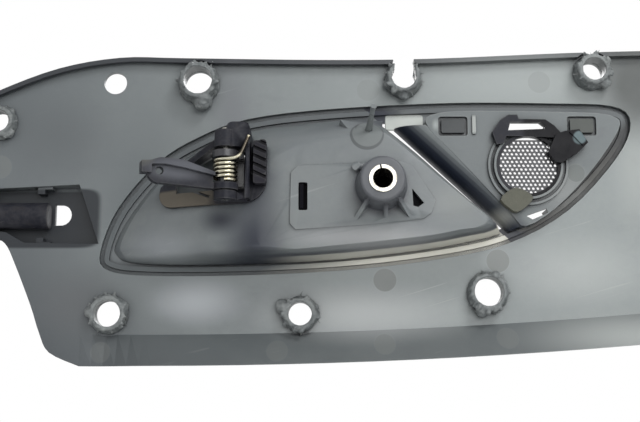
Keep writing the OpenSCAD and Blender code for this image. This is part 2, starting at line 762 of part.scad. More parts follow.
// Rings of a round wire along a path, each turned so that its first point looks outwards
function wire_rings(path, outward, sides) = [
    for (k = [0 : len(path) - 1])
        let (along = unit(path[min(k + 1, len(path) - 1)] - path[max(k - 1, 0)]),
            across = unit(outward[k] - along * (along * outward[k])), up = cross(along, across))
        [for (s = [0 : sides - 1])
            path[k] + wire_radius * (across * cos(360 * s / sides) + up * sin(360 * s / sides))]];

module return_spring() {
    mean = coil_radius - wire_radius;
    per_turn = 16;
    count = coil_turns * per_turn;
    rise = coil_length - 2 * wire_radius;
    // The coil ends on the door side, and its leg runs on from there and turns up
    coil = [for (k = [0 : count])
        let (a = 360 * k / per_turn - 90) [mean * cos(a), mean * sin(a), rise * k / count]];
    leg = smooth_run([[0, -mean, rise], [4.6, -mean, rise + 0.4], [6.8, -mean, rise + 2.4],
        [8, -mean, rise + 5.6], [9.8, -mean, rise + 10]], 3);
    path = concat(coil, [for (k = [1 : len(leg) - 1]) leg[k]]);
    outward = [for (k = [0 : len(path) - 1])
        k <= count ? [path[k].x, path[k].y, 0] : [0, -1, 0]];
    color("gainsboro") translate([hinge_x, hinge_y, coil_low + wire_radius])
        ring_loft(wire_rings(path, outward, 8));
}

// Stop buffer: gap to the wall, width, height, and its slanted grooves
buffer_gap = 1.4;
buffer_width = 5.2;
buffer_low = -0.4;
buffer_height = 18;
buffer_front = 2;
groove_count = 5;
groove_pitch = 3.4;
groove_width = 1.4;
groove_depth = 1.6;
groove_lean = 25;

module stop_buffer() {
    low_x = root_right + side_gap + side_wall + buffer_gap;
    front = hinge_y - buffer_front;
    color("black") difference() {
        slab(front, floor_y + 6, rounded_box(low_x, buffer_low, low_x + buffer_width,
            buffer_low + buffer_height, 1));
        for (k = [0 : groove_count - 1])
            translate([low_x + buffer_width / 2, front - 1, buffer_low + 2 + (k + 0.5) * groove_pitch])
                rotate([0, groove_lean, 0])
                translate([-buffer_width, 0, -groove_width / 2])
                cube([2 * buffer_width, 1 + groove_depth, groove_width]);
        ring_loft(cup_wall_rings(-bracket_wall, floor_y - bracket_wall));
    }
}

// Crank arm: turn at rest, plate, height of the eye, radii of the eye and its end, and the end block
crank_turn = 20;
crank_half = 1.6;
crank_hub = 5.2;
eye_height = 2.9;
eye_radius = 1.6;
eye_end = 5;
crank_edge = 2;
coil_room = 0.7;
upper_edge = [[-27, 7.9], [-18, 7.6], [-5, 3.6], [-5, 2.2], [-18.4, 4.6], [-25, 5.4], [-30.6, 5],
    [-30.6, 6.6]];
end_block = [[-34.4, 1.6], [-30.4, 1.6], [-30.4, 6.6], [-34.4, 6.2]];

module crank_arm() {
    color("black") difference() {
        union() {
            translate([hinge_x, hinge_y, hub_low]) cylinder(h = flange_thick, r = crank_hub, $fn = 48);
            translate([hinge_x, hinge_y, 0]) rotate([0, 0, crank_turn]) {
                slab(-crank_half, crank_half, concat(
                    arc_points(-crank_length, eye_height, eye_end, 80, 280, 10),
                    [[-12, -2.6], [-2, hub_low], [-2, hub_low + flange_thick], [-5, 3.5], [-18, 7.5]]));
                slab(-crank_half - crank_edge, crank_half, upper_edge);
                slab(-crank_half - crank_edge, crank_half, end_block);
            }
        }
        translate([hinge_x, hinge_y, 0]) rotate([0, 0, crank_turn])
            bar(-crank_length, eye_height, eye_radius, -crank_half - crank_edge - 1, crank_half + 1);
        hinge_bore();
        translate([hinge_x, hinge_y, hub_low + flange_thick])
            cylinder(h = hub_height, r = coil_radius + coil_room, $fn = 48);
    }
}

// Lever: outline of its plate, how far it stands back from the rim, and its rim wall
lever_outline = [[-69, -0.5], [-66, -4.5], [-58, -8.4], [-40, -10], [0, -9.5], [22, -7], [29, -2],
    [20, 8], [8, 19], [-8, 25.5], [-30, 25.5], [-46, 21.8], [-56, 15.6], [-62.5, 10.4], [-67.5, 4.8]];
lever_recess = 1;
lip_thick = 2;
lip_end = -35;
// Root between the hub and the plate: its reach left and right of the pin, and its sloped top
root_half = [4, 7];
root_slope_from = 9.5;
root_slope_drop = 5.8;
hub_margin = 0.3;

module pull_lever() {
    back = rim_y - lever_wall - lever_recess;
    root_low = hub_low + flange_thick;
    root_y = coil_radius + root_margin;
    outline = smooth_loop(lever_outline, 4);
    color("darkgray") difference() {
        union() {
            difference() {
                slab(back - lever_lip, back + lever_wall, outline);
                slab(back - lever_lip - 1, back, deep_inset(outline, lip_thick));
                // The finger lip ends short of the root
                translate([lip_end - panel_left, back - lever_lip - 1, -panel_left / 2])
                    cube([panel_left, lever_lip + 1, panel_left]);
            }
            translate([hinge_x, hinge_y, root_low])
                cylinder(h = hub_high - root_low, r = hub_radius, $fn = 48);
            translate([hinge_x, hinge_y, hub_high - flange_thick])
                cylinder(h = flange_thick, r = coil_radius + hub_margin, $fn = 48);
            translate([hinge_x - root_half[0], hinge_y + 1, hub_high - flange_thick])
                cube([root_half[0] + root_half[1], root_y, flange_thick]);
            // Root, seen along X
            translate([hinge_x - root_half[0], hinge_y, 0]) rotate([90, 0, 90])
                linear_extrude(root_half[0] + root_half[1])
                polygon([[root_y, root_low], [back + 0.5 - hinge_y, root_low],
                    [back + 0.5 - hinge_y, hub_high - root_slope_drop], [root_slope_from, hub_high],
                    [root_y, hub_high]]);
        }
        hinge_bore();
    }
}

// Screw sleeve and its cover

module screw_sleeve() {
    color("silver") difference() {
        bar(0, 0, sleeve_radius, -0.5, floor_y + cup_wall);
        bar(0, 0, sleeve_bore, -1, floor_y + cup_wall + 1);
        rotate([0, -10, 0]) translate([-sleeve_split / 2, -1, 0]) cube([sleeve_split, floor_y + 5, 8]);
    }
}

// Cover behind the cup: its plate, its cap over the screw and its hook in the slot
cover_box = [-34.5, -15.5, 18, 9];
cover_wall = 1.6;
// Corner rounding of the cover, and its cut corner along the cup's slanted edge
cover_round = 3;
cover_cut = 7;
cover_outline = concat(
    arc_points(cover_box[0] + cover_round, cover_box[1] + cover_round, cover_round, 180, 270, 4),
    arc_points(cover_box[2] - cover_round, cover_box[1] + cover_round, cover_round, 270, 360, 4),
    [[cover_box[2], cover_box[3] - cover_cut], [cover_box[2] - cover_cut, cover_box[3]]],
    arc_points(cover_box[0] + cover_round, cover_box[3] - cover_round, cover_round, 90, 180, 4));
cap_radius = 8.6;
cap_height = 6.5;
hook_length = 3.4;
hook_gap = 0.4;

module screw_cover() {
    back = floor_y + cup_wall;
    color("dimgray") difference() {
        union() {
            slab(back, back + cover_wall, cover_outline);
            bar(0, 0, cap_radius, back, back + cap_height, cap_radius - 0.6);
            slab(back - hook_length, back + 1, rounded_box(cup_slot[0] + hook_gap, cup_slot[1] + 0.6,
                cup_slot[2] - 4 * hook_gap, cup_slot[3] - 0.6, 0.3));
        }
        bar(0, 0, cap_radius - cover_wall, back - 1, back + cap_height - cover_wall);
    }
}

// End spigot: radius, height of its axis, and its two ends
spigot_radius = 5.5;
spigot_axis = -8.3;
spigot_ends = [-166, -140];

module end_spigot() {
    color("black") translate([spigot_ends[0], panel_back + pocket_depth - spigot_radius, spigot_axis])
        rotate([0, 90, 0]) cylinder(h = spigot_ends[1] - spigot_ends[0], r = spigot_radius, $fn = 48);
}

// Melted stakes

module stake(k) {
    s = stakes[k];
    color("black") difference() {
        intersection() {
            bar(s[0], s[1], s[2] + stake_wall + stake_flare, panel_back - s[3], panel_back,
                s[2] + stake_wall - stake_flare);
            slab(panel_back - s[3] - 1, panel_back, panel_outline);
        }
        bar(s[0], s[1], s[2], panel_back - s[3] - 1, panel_back + 1);
        if (k == broken_stake) broken_gap(panel_back - s[3] - 1, panel_back + 1);
    }
}

module stake_top_left() { stake(0); }
module stake_top_mid() { stake(1); }
module stake_top_right() { stake(2); }
module stake_low_left() { stake(3); }
module stake_low_mid() { stake(4); }
module stake_low_right() { stake(5); }
module stake_end() { stake(6); }

trim_panel();
bezel_frame();
handle_cup();
pull_lever();
crank_arm();
hinge_bracket();
hinge_pin();
return_spring();
stop_buffer();
screw_sleeve();
screw_cover();
tweeter_mesh();
mesh_retainer();
foam_pad();
end_spigot();
stake_top_left();
stake_top_mid();
stake_top_right();
stake_low_left();
stake_low_mid();
stake_low_right();
stake_end();
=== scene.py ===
import json
import math
import random

import bpy
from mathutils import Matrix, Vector


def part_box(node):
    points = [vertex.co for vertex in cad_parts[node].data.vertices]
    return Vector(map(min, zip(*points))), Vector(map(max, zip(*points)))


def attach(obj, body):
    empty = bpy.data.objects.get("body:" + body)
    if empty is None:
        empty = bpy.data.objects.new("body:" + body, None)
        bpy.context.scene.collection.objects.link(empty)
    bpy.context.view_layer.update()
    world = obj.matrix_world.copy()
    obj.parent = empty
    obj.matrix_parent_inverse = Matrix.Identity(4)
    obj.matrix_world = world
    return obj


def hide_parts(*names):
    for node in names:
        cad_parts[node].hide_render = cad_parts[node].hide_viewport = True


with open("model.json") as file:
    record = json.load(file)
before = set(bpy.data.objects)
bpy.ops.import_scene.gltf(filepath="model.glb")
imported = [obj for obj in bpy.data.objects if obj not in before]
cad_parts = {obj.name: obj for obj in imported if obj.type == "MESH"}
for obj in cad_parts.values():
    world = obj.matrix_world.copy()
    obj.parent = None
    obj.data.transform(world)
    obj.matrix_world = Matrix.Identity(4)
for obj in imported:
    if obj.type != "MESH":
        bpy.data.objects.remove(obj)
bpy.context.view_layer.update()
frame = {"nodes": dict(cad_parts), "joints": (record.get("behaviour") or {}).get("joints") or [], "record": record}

mm = 0.001
print("frame loaded:", len(frame["nodes"]), "CAD nodes")


# small helpers for working with one piece at a time

def deselectAll():
    if bpy.context.object and bpy.context.object.mode != "OBJECT":
        bpy.ops.object.mode_set(mode="OBJECT")
    bpy.ops.object.select_all(action="DESELECT")


def workOn(piece):
    deselectAll()
    piece.select_set(True)
    bpy.context.view_layer.objects.active = piece


def applyModifiers(piece):
    workOn(piece)
    for modifier in list(piece.modifiers):
        bpy.ops.object.modifier_apply(modifier=modifier.name)


def settle(piece):
    workOn(piece)
    bpy.ops.object.transform_apply(location=True, rotation=True, scale=True)


def smoothShade(piece, degrees):
    workOn(piece)
    bpy.ops.object.shade_smooth_by_angle(angle=math.radians(degrees))


def joinPieces(pieces):
    workOn(pieces[0])
    for piece in pieces:
        piece.select_set(True)
    bpy.ops.object.join()
    return bpy.context.object


def paint(piece, material):
    piece.data.materials.clear()
    piece.data.materials.append(material)


def finishPiece(piece, name, body, material, replaced):
    piece.name = name
    piece.data.name = name
    settle(piece)
    paint(piece, material)
    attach(piece, body)
    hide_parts(*replaced)


# camera at the photo's view, a little below the handle and looking up

cameraFacts = {
    "place": (-0.0247, -0.41206, -0.08576),
    "tilt": 100,
    "lens": 60.4,
    "sensor": 36,
}


def addCamera(facts):
    bpy.ops.object.camera_add(location=facts["place"], rotation=(math.radians(facts["tilt"]), 0, 0))
    camera = bpy.context.object
    camera.data.lens = facts["lens"]
    camera.data.sensor_width = facts["sensor"]
    camera.data.clip_start = 0.01
    bpy.context.scene.camera = camera


# shader node groups and the helpers that place them

def newNode(tree, kind, values=(), **settings):
    node = tree.nodes.new(kind)
    for key, value in settings.items():
        setattr(node, key, value)
    for key, value in dict(values).items():
        node.inputs[key].default_value = value
    return node


def link(tree, source, target):
    tree.links.new(source, target)


def newGroup(name, inputs, outputs):
    group = bpy.data.node_groups.new(name, "ShaderNodeTree")
    for label, kind, value in inputs:
        socket = group.interface.new_socket(label, in_out="INPUT", socket_type=kind)
        if value is not None:
            socket.default_value = value
    for label, kind in outputs:
        group.interface.new_socket(label, in_out="OUTPUT", socket_type=kind)
    entry = group.nodes.new("NodeGroupInput")
    leave = group.nodes.new("NodeGroupOutput")
    return group, entry, leave


floatKind = "NodeSocketFloat"
vectorKind = "NodeSocketVector"


def makeCloudGroup():
    # soft clouds with a finer breakup, cut to a mask between two levels
    group, entry, leave = newGroup("cloudMask", [
        ("Vector", vectorKind, None), ("Scale", floatKind, 20.0), ("Stretch", floatKind, 1.0),
        ("Low", floatKind, 0.4), ("High", floatKind, 0.7)], [("Mask", floatKind)])
    combine = newNode(group, "ShaderNodeCombineXYZ", {1: 1.0, 2: 1.0})
    stretch = newNode(group, "ShaderNodeVectorMath", operation="MULTIPLY")
    broad = newNode(group, "ShaderNodeTexNoise", {"Detail": 5.0, "Roughness": 0.6})
    finer = newNode(group, "ShaderNodeMath", {1: 7.0}, operation="MULTIPLY")
    fine = newNode(group, "ShaderNodeTexNoise", {"Detail": 3.0, "Roughness": 0.7})
    blend = newNode(group, "ShaderNodeMix", {"Factor": 0.3}, data_type="FLOAT")
    cut = newNode(group, "ShaderNodeMapRange", interpolation_type="SMOOTHSTEP")
    link(group, entry.outputs["Stretch"], combine.inputs[0])
    link(group, entry.outputs["Vector"], stretch.inputs[0])
    link(group, combine.outputs[0], stretch.inputs[1])
    link(group, stretch.outputs[0], broad.inputs["Vector"])
    link(group, stretch.outputs[0], fine.inputs["Vector"])
    link(group, entry.outputs["Scale"], broad.inputs["Scale"])
    link(group, entry.outputs["Scale"], finer.inputs[0])
    link(group, finer.outputs[0], fine.inputs["Scale"])
    link(group, broad.outputs["Fac"], blend.inputs["A"])
    link(group, fine.outputs["Fac"], blend.inputs["B"])
    link(group, blend.outputs["Result"], cut.inputs["Value"])
    link(group, entry.outputs["Low"], cut.inputs["From Min"])
    link(group, entry.outputs["High"], cut.inputs["From Max"])
    link(group, cut.outputs["Result"], leave.inputs["Mask"])
    return group


def makeGrainGroup():
    # moulded grain: fine noise over shallow pits
    group, entry, leave = newGroup("mouldGrain", [
        ("Vector", vectorKind, None), ("Scale", floatKind, 1500.0)], [("Height", floatKind)])
    noise = newNode(group, "ShaderNodeTexNoise", {"Detail": 2.0, "Roughness": 0.6})
    pits = newNode(group, "ShaderNodeTexVoronoi", feature="SMOOTH_F1")
    half = newNode(group, "ShaderNodeMath", {1: 0.6}, operation="MULTIPLY")
    add = newNode(group, "ShaderNodeMath", operation="ADD")
    link(group, entry.outputs["Vector"], noise.inputs["Vector"])
    link(group, entry.outputs["Vector"], pits.inputs["Vector"])
    link(group, entry.outputs["Scale"], noise.inputs["Scale"])
    link(group, entry.outputs["Scale"], half.inputs[0])
    link(group, half.outputs[0], pits.inputs["Scale"])
    link(group, noise.outputs["Fac"], add.inputs[0])
    link(group, pits.outputs["Distance"], add.inputs[1])
    link(group, add.outputs[0], leave.inputs["Height"])
    return group


def makeCornerGroup():
    # dirt and painted shade in inner corners, painted shade that turns narrow gaps black and wear on outer edges,
    # broken up by noise
    group, entry, leave = newGroup("cornersAndEdges", [
        ("Vector", vectorKind, None), ("Dirt Reach", floatKind, 0.006), ("Gap Reach", floatKind, 0.0026),
        ("Edge Reach", floatKind, 0.0007)],
        [("Dirt", floatKind), ("Gap", floatKind), ("Wear", floatKind)])
    inner = newNode(group, "ShaderNodeAmbientOcclusion", samples=4)
    narrow = newNode(group, "ShaderNodeAmbientOcclusion", samples=3)
    outer = newNode(group, "ShaderNodeAmbientOcclusion", samples=3, inside=True)
    noise = newNode(group, "ShaderNodeTexNoise", {"Scale": 260.0, "Detail": 4.0})
    dirtAndShade = newNode(group, "ShaderNodeMapRange", {"From Min": 0.85, "From Max": 0.3})
    gapShade = newNode(group, "ShaderNodeMapRange", {"From Min": 0.62, "From Max": 0.3})
    wear = newNode(group, "ShaderNodeMapRange", {"From Min": 0.75, "From Max": 0.35})
    dirtAndShadeBreak = newNode(group, "ShaderNodeMath", operation="MULTIPLY")
    wearBreak = newNode(group, "ShaderNodeMath", operation="MULTIPLY")
    spread = newNode(group, "ShaderNodeMapRange", {"From Min": 0.35, "From Max": 0.62, "To Min": 0.35})
    link(group, entry.outputs["Vector"], noise.inputs["Vector"])
    link(group, entry.outputs["Dirt Reach"], inner.inputs["Distance"])
    link(group, entry.outputs["Gap Reach"], narrow.inputs["Distance"])
    link(group, entry.outputs["Edge Reach"], outer.inputs["Distance"])
    link(group, inner.outputs["AO"], dirtAndShade.inputs["Value"])
    link(group, narrow.outputs["AO"], gapShade.inputs["Value"])
    link(group, outer.outputs["AO"], wear.inputs["Value"])
    link(group, noise.outputs["Fac"], spread.inputs["Value"])
    link(group, dirtAndShade.outputs["Result"], dirtAndShadeBreak.inputs[0])
    link(group, spread.outputs["Result"], dirtAndShadeBreak.inputs[1])
    link(group, wear.outputs["Result"], wearBreak.inputs[0])
    link(group, spread.outputs["Result"], wearBreak.inputs[1])
    link(group, dirtAndShadeBreak.outputs[0], leave.inputs["Dirt"])
    link(group, gapShade.outputs["Result"], leave.inputs["Gap"])
    link(group, wearBreak.outputs[0], leave.inputs["Wear"])
    return group


def makePatchGroup():
    # a mask over an ellipsoid or a rounded box, and the fine line of its outline
    group, entry, leave = newGroup("patchMask", [
        ("Vector", vectorKind, None), ("Centre", vectorKind, None), ("Half", vectorKind, (1, 1, 1)),
        ("Power", floatKind, 2.0), ("Soft", floatKind, 0.06)], [("Mask", floatKind), ("Rim", floatKind)])
    away = newNode(group, "ShaderNodeVectorMath", operation="SUBTRACT")
    share = newNode(group, "ShaderNodeVectorMath", operation="DIVIDE")
    size = newNode(group, "ShaderNodeVectorMath", operation="ABSOLUTE")
    split = newNode(group, "ShaderNodeSeparateXYZ")
    across = newNode(group, "ShaderNodeMath", operation="POWER")
    up = newNode(group, "ShaderNodeMath", operation="POWER")
    depth = newNode(group, "ShaderNodeMath", operation="POWER")
    flat = newNode(group, "ShaderNodeMath", operation="ADD")
    total = newNode(group, "ShaderNodeMath", operation="ADD")
    root = newNode(group, "ShaderNodeMath", {0: 1.0}, operation="DIVIDE")
    reach = newNode(group, "ShaderNodeMath", operation="POWER")
    inner = newNode(group, "ShaderNodeMath", {0: 1.0}, operation="SUBTRACT")
    mask = newNode(group, "ShaderNodeMapRange", {"From Min": 1.0}, interpolation_type="SMOOTHSTEP")
    off = newNode(group, "ShaderNodeMath", {1: 1.0}, operation="SUBTRACT")
    offSize = newNode(group, "ShaderNodeMath", operation="ABSOLUTE")
    rim = newNode(group, "ShaderNodeMapRange", {"From Min": 0.07, "From Max": 0.0})
    link(group, entry.outputs["Vector"], away.inputs[0])
    link(group, entry.outputs["Centre"], away.inputs[1])
    link(group, away.outputs[0], share.inputs[0])
    link(group, entry.outputs["Half"], share.inputs[1])
    link(group, share.outputs[0], size.inputs[0])
    link(group, size.outputs[0], split.inputs[0])
    for axis, raised in (("X", across), ("Y", depth), ("Z", up)):
        link(group, split.outputs[axis], raised.inputs[0])
        link(group, entry.outputs["Power"], raised.inputs[1])
    link(group, across.outputs[0], flat.inputs[0])
    link(group, up.outputs[0], flat.inputs[1])
    link(group, flat.outputs[0], total.inputs[0])
    link(group, depth.outputs[0], total.inputs[1])
    link(group, entry.outputs["Power"], root.inputs[1])
    link(group, total.outputs[0], reach.inputs[0])
    link(group, root.outputs[0], reach.inputs[1])
    link(group, entry.outputs["Soft"], inner.inputs[1])
    link(group, reach.outputs[0], mask.inputs["Value"])
    link(group, inner.outputs[0], mask.inputs["From Max"])
    link(group, reach.outputs[0], off.inputs[0])
    link(group, off.outputs[0], offSize.inputs[0])
    link(group, offSize.outputs[0], rim.inputs["Value"])
    link(group, mask.outputs["Result"], leave.inputs["Mask"])
    link(group, rim.outputs["Result"], leave.inputs["Rim"])
    return group


def makeScratchGroup():
    # long thin scratches that run along X, turned by an angle
    group, entry, leave = newGroup("scratches", [
        ("Vector", vectorKind, None), ("Angle", floatKind, 0.3), ("Amount", floatKind, 0.5)],
        [("Mask", floatKind)])
    turn = newNode(group, "ShaderNodeVectorRotate", rotation_type="Y_AXIS")
    squeeze = newNode(group, "ShaderNodeVectorMath", {1: (14.0, 300.0, 700.0)}, operation="MULTIPLY")
    noise = newNode(group, "ShaderNodeTexNoise", {"Scale": 1.0, "Detail": 1.0})
    line = newNode(group, "ShaderNodeMapRange", {"From Min": 0.71, "From Max": 0.78})
    patch = newNode(group, "ShaderNodeTexNoise", {"Scale": 26.0, "Detail": 2.0})
    patchCut = newNode(group, "ShaderNodeMapRange", {"From Min": 0.5, "From Max": 0.62})
    both = newNode(group, "ShaderNodeMath", operation="MULTIPLY")
    amount = newNode(group, "ShaderNodeMath", operation="MULTIPLY")
    link(group, entry.outputs["Vector"], turn.inputs["Vector"])
    link(group, entry.outputs["Angle"], turn.inputs["Angle"])
    link(group, turn.outputs[0], squeeze.inputs[0])
    link(group, squeeze.outputs[0], noise.inputs["Vector"])
    link(group, noise.outputs["Fac"], line.inputs["Value"])
    link(group, entry.outputs["Vector"], patch.inputs["Vector"])
    link(group, patch.outputs["Fac"], patchCut.inputs["Value"])
    link(group, line.outputs["Result"], both.inputs[0])
    link(group, patchCut.outputs["Result"], both.inputs[1])
    link(group, both.outputs[0], amount.inputs[0])
    link(group, entry.outputs["Amount"], amount.inputs[1])
    link(group, amount.outputs[0], leave.inputs["Mask"])
    return group


def makeZoneGroup():
    # a mask that rises across two soft planes: one along a first direction, one along a second
    group, entry, leave = newGroup("zoneMask", [
        ("Vector", vectorKind, None), ("Along", vectorKind, None), ("From", floatKind, 0.0),
        ("To", floatKind, 1.0), ("Second", vectorKind, None), ("Second From", floatKind, -2.0),
        ("Second To", floatKind, -1.0)],
        [("Mask", floatKind)])
    both = newNode(group, "ShaderNodeMath", operation="MULTIPLY")
    planes = (("Along", "From", "To"), ("Second", "Second From", "Second To"))
    for k, (axis, low, high) in enumerate(planes):
        along = newNode(group, "ShaderNodeVectorMath", operation="DOT_PRODUCT")
        rise = newNode(group, "ShaderNodeMapRange")
        link(group, entry.outputs["Vector"], along.inputs[0])
        link(group, entry.outputs[axis], along.inputs[1])
        link(group, along.outputs["Value"], rise.inputs["Value"])
        link(group, entry.outputs[low], rise.inputs["From Min"])
        link(group, entry.outputs[high], rise.inputs["From Max"])
        link(group, rise.outputs["Result"], both.inputs[k])
    link(group, both.outputs[0], leave.inputs["Mask"])
    return group


groups = {
    "cloud": makeCloudGroup(),
    "grain": makeGrainGroup(),
    "corner": makeCornerGroup(),
    "patch": makePatchGroup(),
    "scratch": makeScratchGroup(),
    "zone": makeZoneGroup(),
}
print("node groups made:", ", ".join(groups))


def placeGroup(tree, key, coordinates, **values):
    node = tree.nodes.new("ShaderNodeGroup")
    node.node_tree = groups[key]
    link(tree, coordinates, node.inputs["Vector"])
    for label, value in values.items():
        node.inputs[label.replace("_", " ")].default_value = value
    return node


def newMaterial(name):
    material = bpy.data.materials.new(name)
    material.use_nodes = True
    tree = material.node_tree
    shader = tree.nodes["Principled BSDF"]
    coordinates = tree.nodes.new("ShaderNodeTexCoord").outputs["Object"]
    return material, tree, shader, coordinates


def tint(tree, base, other, mask, amount=1.0):
    # lays one colour over another where the mask is
    mix = newNode(tree, "ShaderNodeMix", data_type="RGBA")
    if isinstance(base, tuple):
        mix.inputs["A"].default_value = (*base, 1)
    else:
        link(tree, base, mix.inputs["A"])
    mix.inputs["B"].default_value = (*other, 1)
    scaled = newNode(tree, "ShaderNodeMath", {1: amount}, operation="MULTIPLY", use_clamp=True)
    link(tree, mask, scaled.inputs[0])
    link(tree, scaled.outputs[0], mix.inputs["Factor"])
    return mix.outputs["Result"]


def roughBetween(tree, shader, mask, smooth, rough):
    spread = newNode(tree, "ShaderNodeMapRange", {"To Min": smooth, "To Max": rough})
    link(tree, mask, spread.inputs["Value"])
    link(tree, spread.outputs["Result"], shader.inputs["Roughness"])


def addBump(tree, shader, height, strength, distance, before=None):
    bump = newNode(tree, "ShaderNodeBump", {"Strength": strength, "Distance": distance})
    link(tree, height, bump.inputs["Height"])
    if before is not None:
        link(tree, before, bump.inputs["Normal"])
    link(tree, bump.outputs["Normal"], shader.inputs["Normal"])


def addZones(tree, colour, coordinates, look):
    # lays another colour over the places or slopes that the zones of a look pick out
    slopes = coordinates.node.outputs["Normal"]
    for zone in look.get("zones", ()):
        mask = placeGroup(tree, "zone", slopes if zone.get("slope") else coordinates, **zone["where"])
        colour = tint(tree, colour, zone["colour"], mask.outputs["Mask"], zone.get("amount", 1.0))
    return colour


# what all plastics share: painted shade that turns gaps black, rounded edges, depth of the grain, paler rims of
# moulding marks
gapShadeAmount = 0.92
edgeRound = 0.3 * mm
grainDepth = 0.1 * mm
rimShare = 0.12


def plasticMaterial(name, look):
    # dusty moulded plastic: haze in clouds, dirt and painted shade in corners, pale worn edges, scratches, grain
    material, tree, shader, coordinates = newMaterial(name)
    corners = placeGroup(tree, "corner", coordinates, Dirt_Reach=look.get("dirtAndShadeReach", 0.006))
    haze = placeGroup(tree, "cloud", coordinates, Scale=look["hazeScale"], Low=0.42, High=0.66)
    stain = placeGroup(tree, "cloud", coordinates, Scale=look["hazeScale"] * 2.3, Stretch=0.6, Low=0.5,
        High=0.72)
    scratch = placeGroup(tree, "scratch", coordinates, Amount=look.get("scratch", 0.5))
    colour = tint(tree, look["colour"], look["haze"], haze.outputs["Mask"], look["hazeAmount"])
    colour = tint(tree, colour, look["stain"], stain.outputs["Mask"], look["stainAmount"])
    # dirt and painted shade in inner corners
    colour = tint(tree, colour, look["dirtAndShade"], corners.outputs["Dirt"], look["dirtAndShadeAmount"])
    colour = tint(tree, colour, look["wear"], corners.outputs["Wear"], look["wearAmount"])
    colour = tint(tree, colour, look["wear"], scratch.outputs["Mask"])
    # zones and patches lay painted shade and painted light over the colour, beside real tone
    colour = addZones(tree, colour, coordinates, look)
    for x, z, wide, high, power, soft, other, amount, *depth in look.get("patches", {}).values():
        y, deep = depth or (0, 1000)
        patch = placeGroup(tree, "patch", coordinates, Centre=(x * mm, y * mm, z * mm),
            Half=(wide * mm, deep * mm, high * mm), Power=power, Soft=soft)
        colour = tint(tree, colour, other, patch.outputs["Mask"], amount)
    for x, z, radius, amount in look.get("marks", ()):
        disc = placeGroup(tree, "patch", coordinates, Centre=(x * mm, 0, z * mm),
            Half=(radius * mm, 1, radius * mm))
        colour = tint(tree, colour, look["mark"], disc.outputs["Mask"], amount)
        colour = tint(tree, colour, look["wear"], disc.outputs["Rim"], amount * rimShare)
    # painted shade turns narrow gaps black
    colour = tint(tree, colour, look["dirtAndShade"], corners.outputs["Gap"], gapShadeAmount)
    link(tree, colour, shader.inputs["Base Color"])
    roughBetween(tree, shader, haze.outputs["Mask"], look["smooth"], look["rough"])
    shader.inputs["Specular IOR Level"].default_value = look.get("specular", 0.5)
    grain = placeGroup(tree, "grain", coordinates, Scale=look.get("grainScale", 1500.0))
    rounded = newNode(tree, "ShaderNodeBevel", {"Radius": edgeRound}, samples=3)
    addBump(tree, shader, grain.outputs["Height"], look.get("grain", 0.12), grainDepth,
        rounded.outputs["Normal"])
    return material


dentStrength = 0.1
dentDepth = 0.2 * mm


def metalMaterial(name, look):
    # drawn or plated metal with tarnish, light dents and a satin face
    material, tree, shader, coordinates = newMaterial(name)
    tarnish = placeGroup(tree, "cloud", coordinates, Scale=look["tarnishScale"], Low=0.45, High=0.65)
    corners = placeGroup(tree, "corner", coordinates, Dirt_Reach=0.002)
    colour = tint(tree, look["colour"], look["tarnish"], tarnish.outputs["Mask"], look["tarnishAmount"])
    # dirt and painted shade in inner corners
    colour = tint(tree, colour, look["dirtAndShade"], corners.outputs["Dirt"], look["dirtAndShadeAmount"])
    colour = addZones(tree, colour, coordinates, look)
    link(tree, colour, shader.inputs["Base Color"])
    shader.inputs["Metallic"].default_value = look.get("metallic", 1.0)
    roughBetween(tree, shader, tarnish.outputs["Mask"], look["smooth"], look["rough"])
    dents = newNode(tree, "ShaderNodeTexNoise", {"Scale": 900.0, "Detail": 2.0})
    link(tree, coordinates, dents.inputs["Vector"])
    addBump(tree, shader, dents.outputs["Fac"], dentStrength, dentDepth)
    return material


# moulding marks: x, z, radius, amount
ejectorMarks = [
    (-3.9, 46.9, 5, 0.25), (70.5, 50.5, 5, 0.25), (2.6, -35.9, 5, 0.85), (50.4, -27.8, 5, 0.8),
    (-161.9, 12.7, 5, 0.5), (2, -62.9, 4.4, 0.45), (52.6, -60.5, 4.4, 0.4),
    (-42.3, -65.8, 4.4, 0.35), (-115.8, -66.2, 4.4, 0.35),
]

# the lip along the top edge is dark, and painted shade darkens the sloped lower flange, the panel's
# left end and its lower left corner
panelZones = [
    {
        "where": {"Along": (-1, 0, 0), "From": 0.01, "To": 0.15}, "colour": (0.095, 0.107, 0.114),
        "amount": 0.82,
    },
    {
        "where": {"Along": (-0.6, 0, -0.8), "From": 0.09, "To": 0.135},
        "colour": (0.05, 0.057, 0.064), "amount": 0.7,
    },
    {
        "where": {"Along": (0, -1, 0), "From": -0.0374, "To": -0.0368,
            "Second": (0, 0, 1), "Second_From": 0.03, "Second_To": 0.031},
        "colour": (0.02, 0.023, 0.028), "amount": 0.95,
    },
    {
        "slope": True, "where": {"Along": (0, 0, 1), "From": 0.1, "To": 0.2},
        "colour": (0.06, 0.068, 0.072), "amount": 0.7,
    },
]
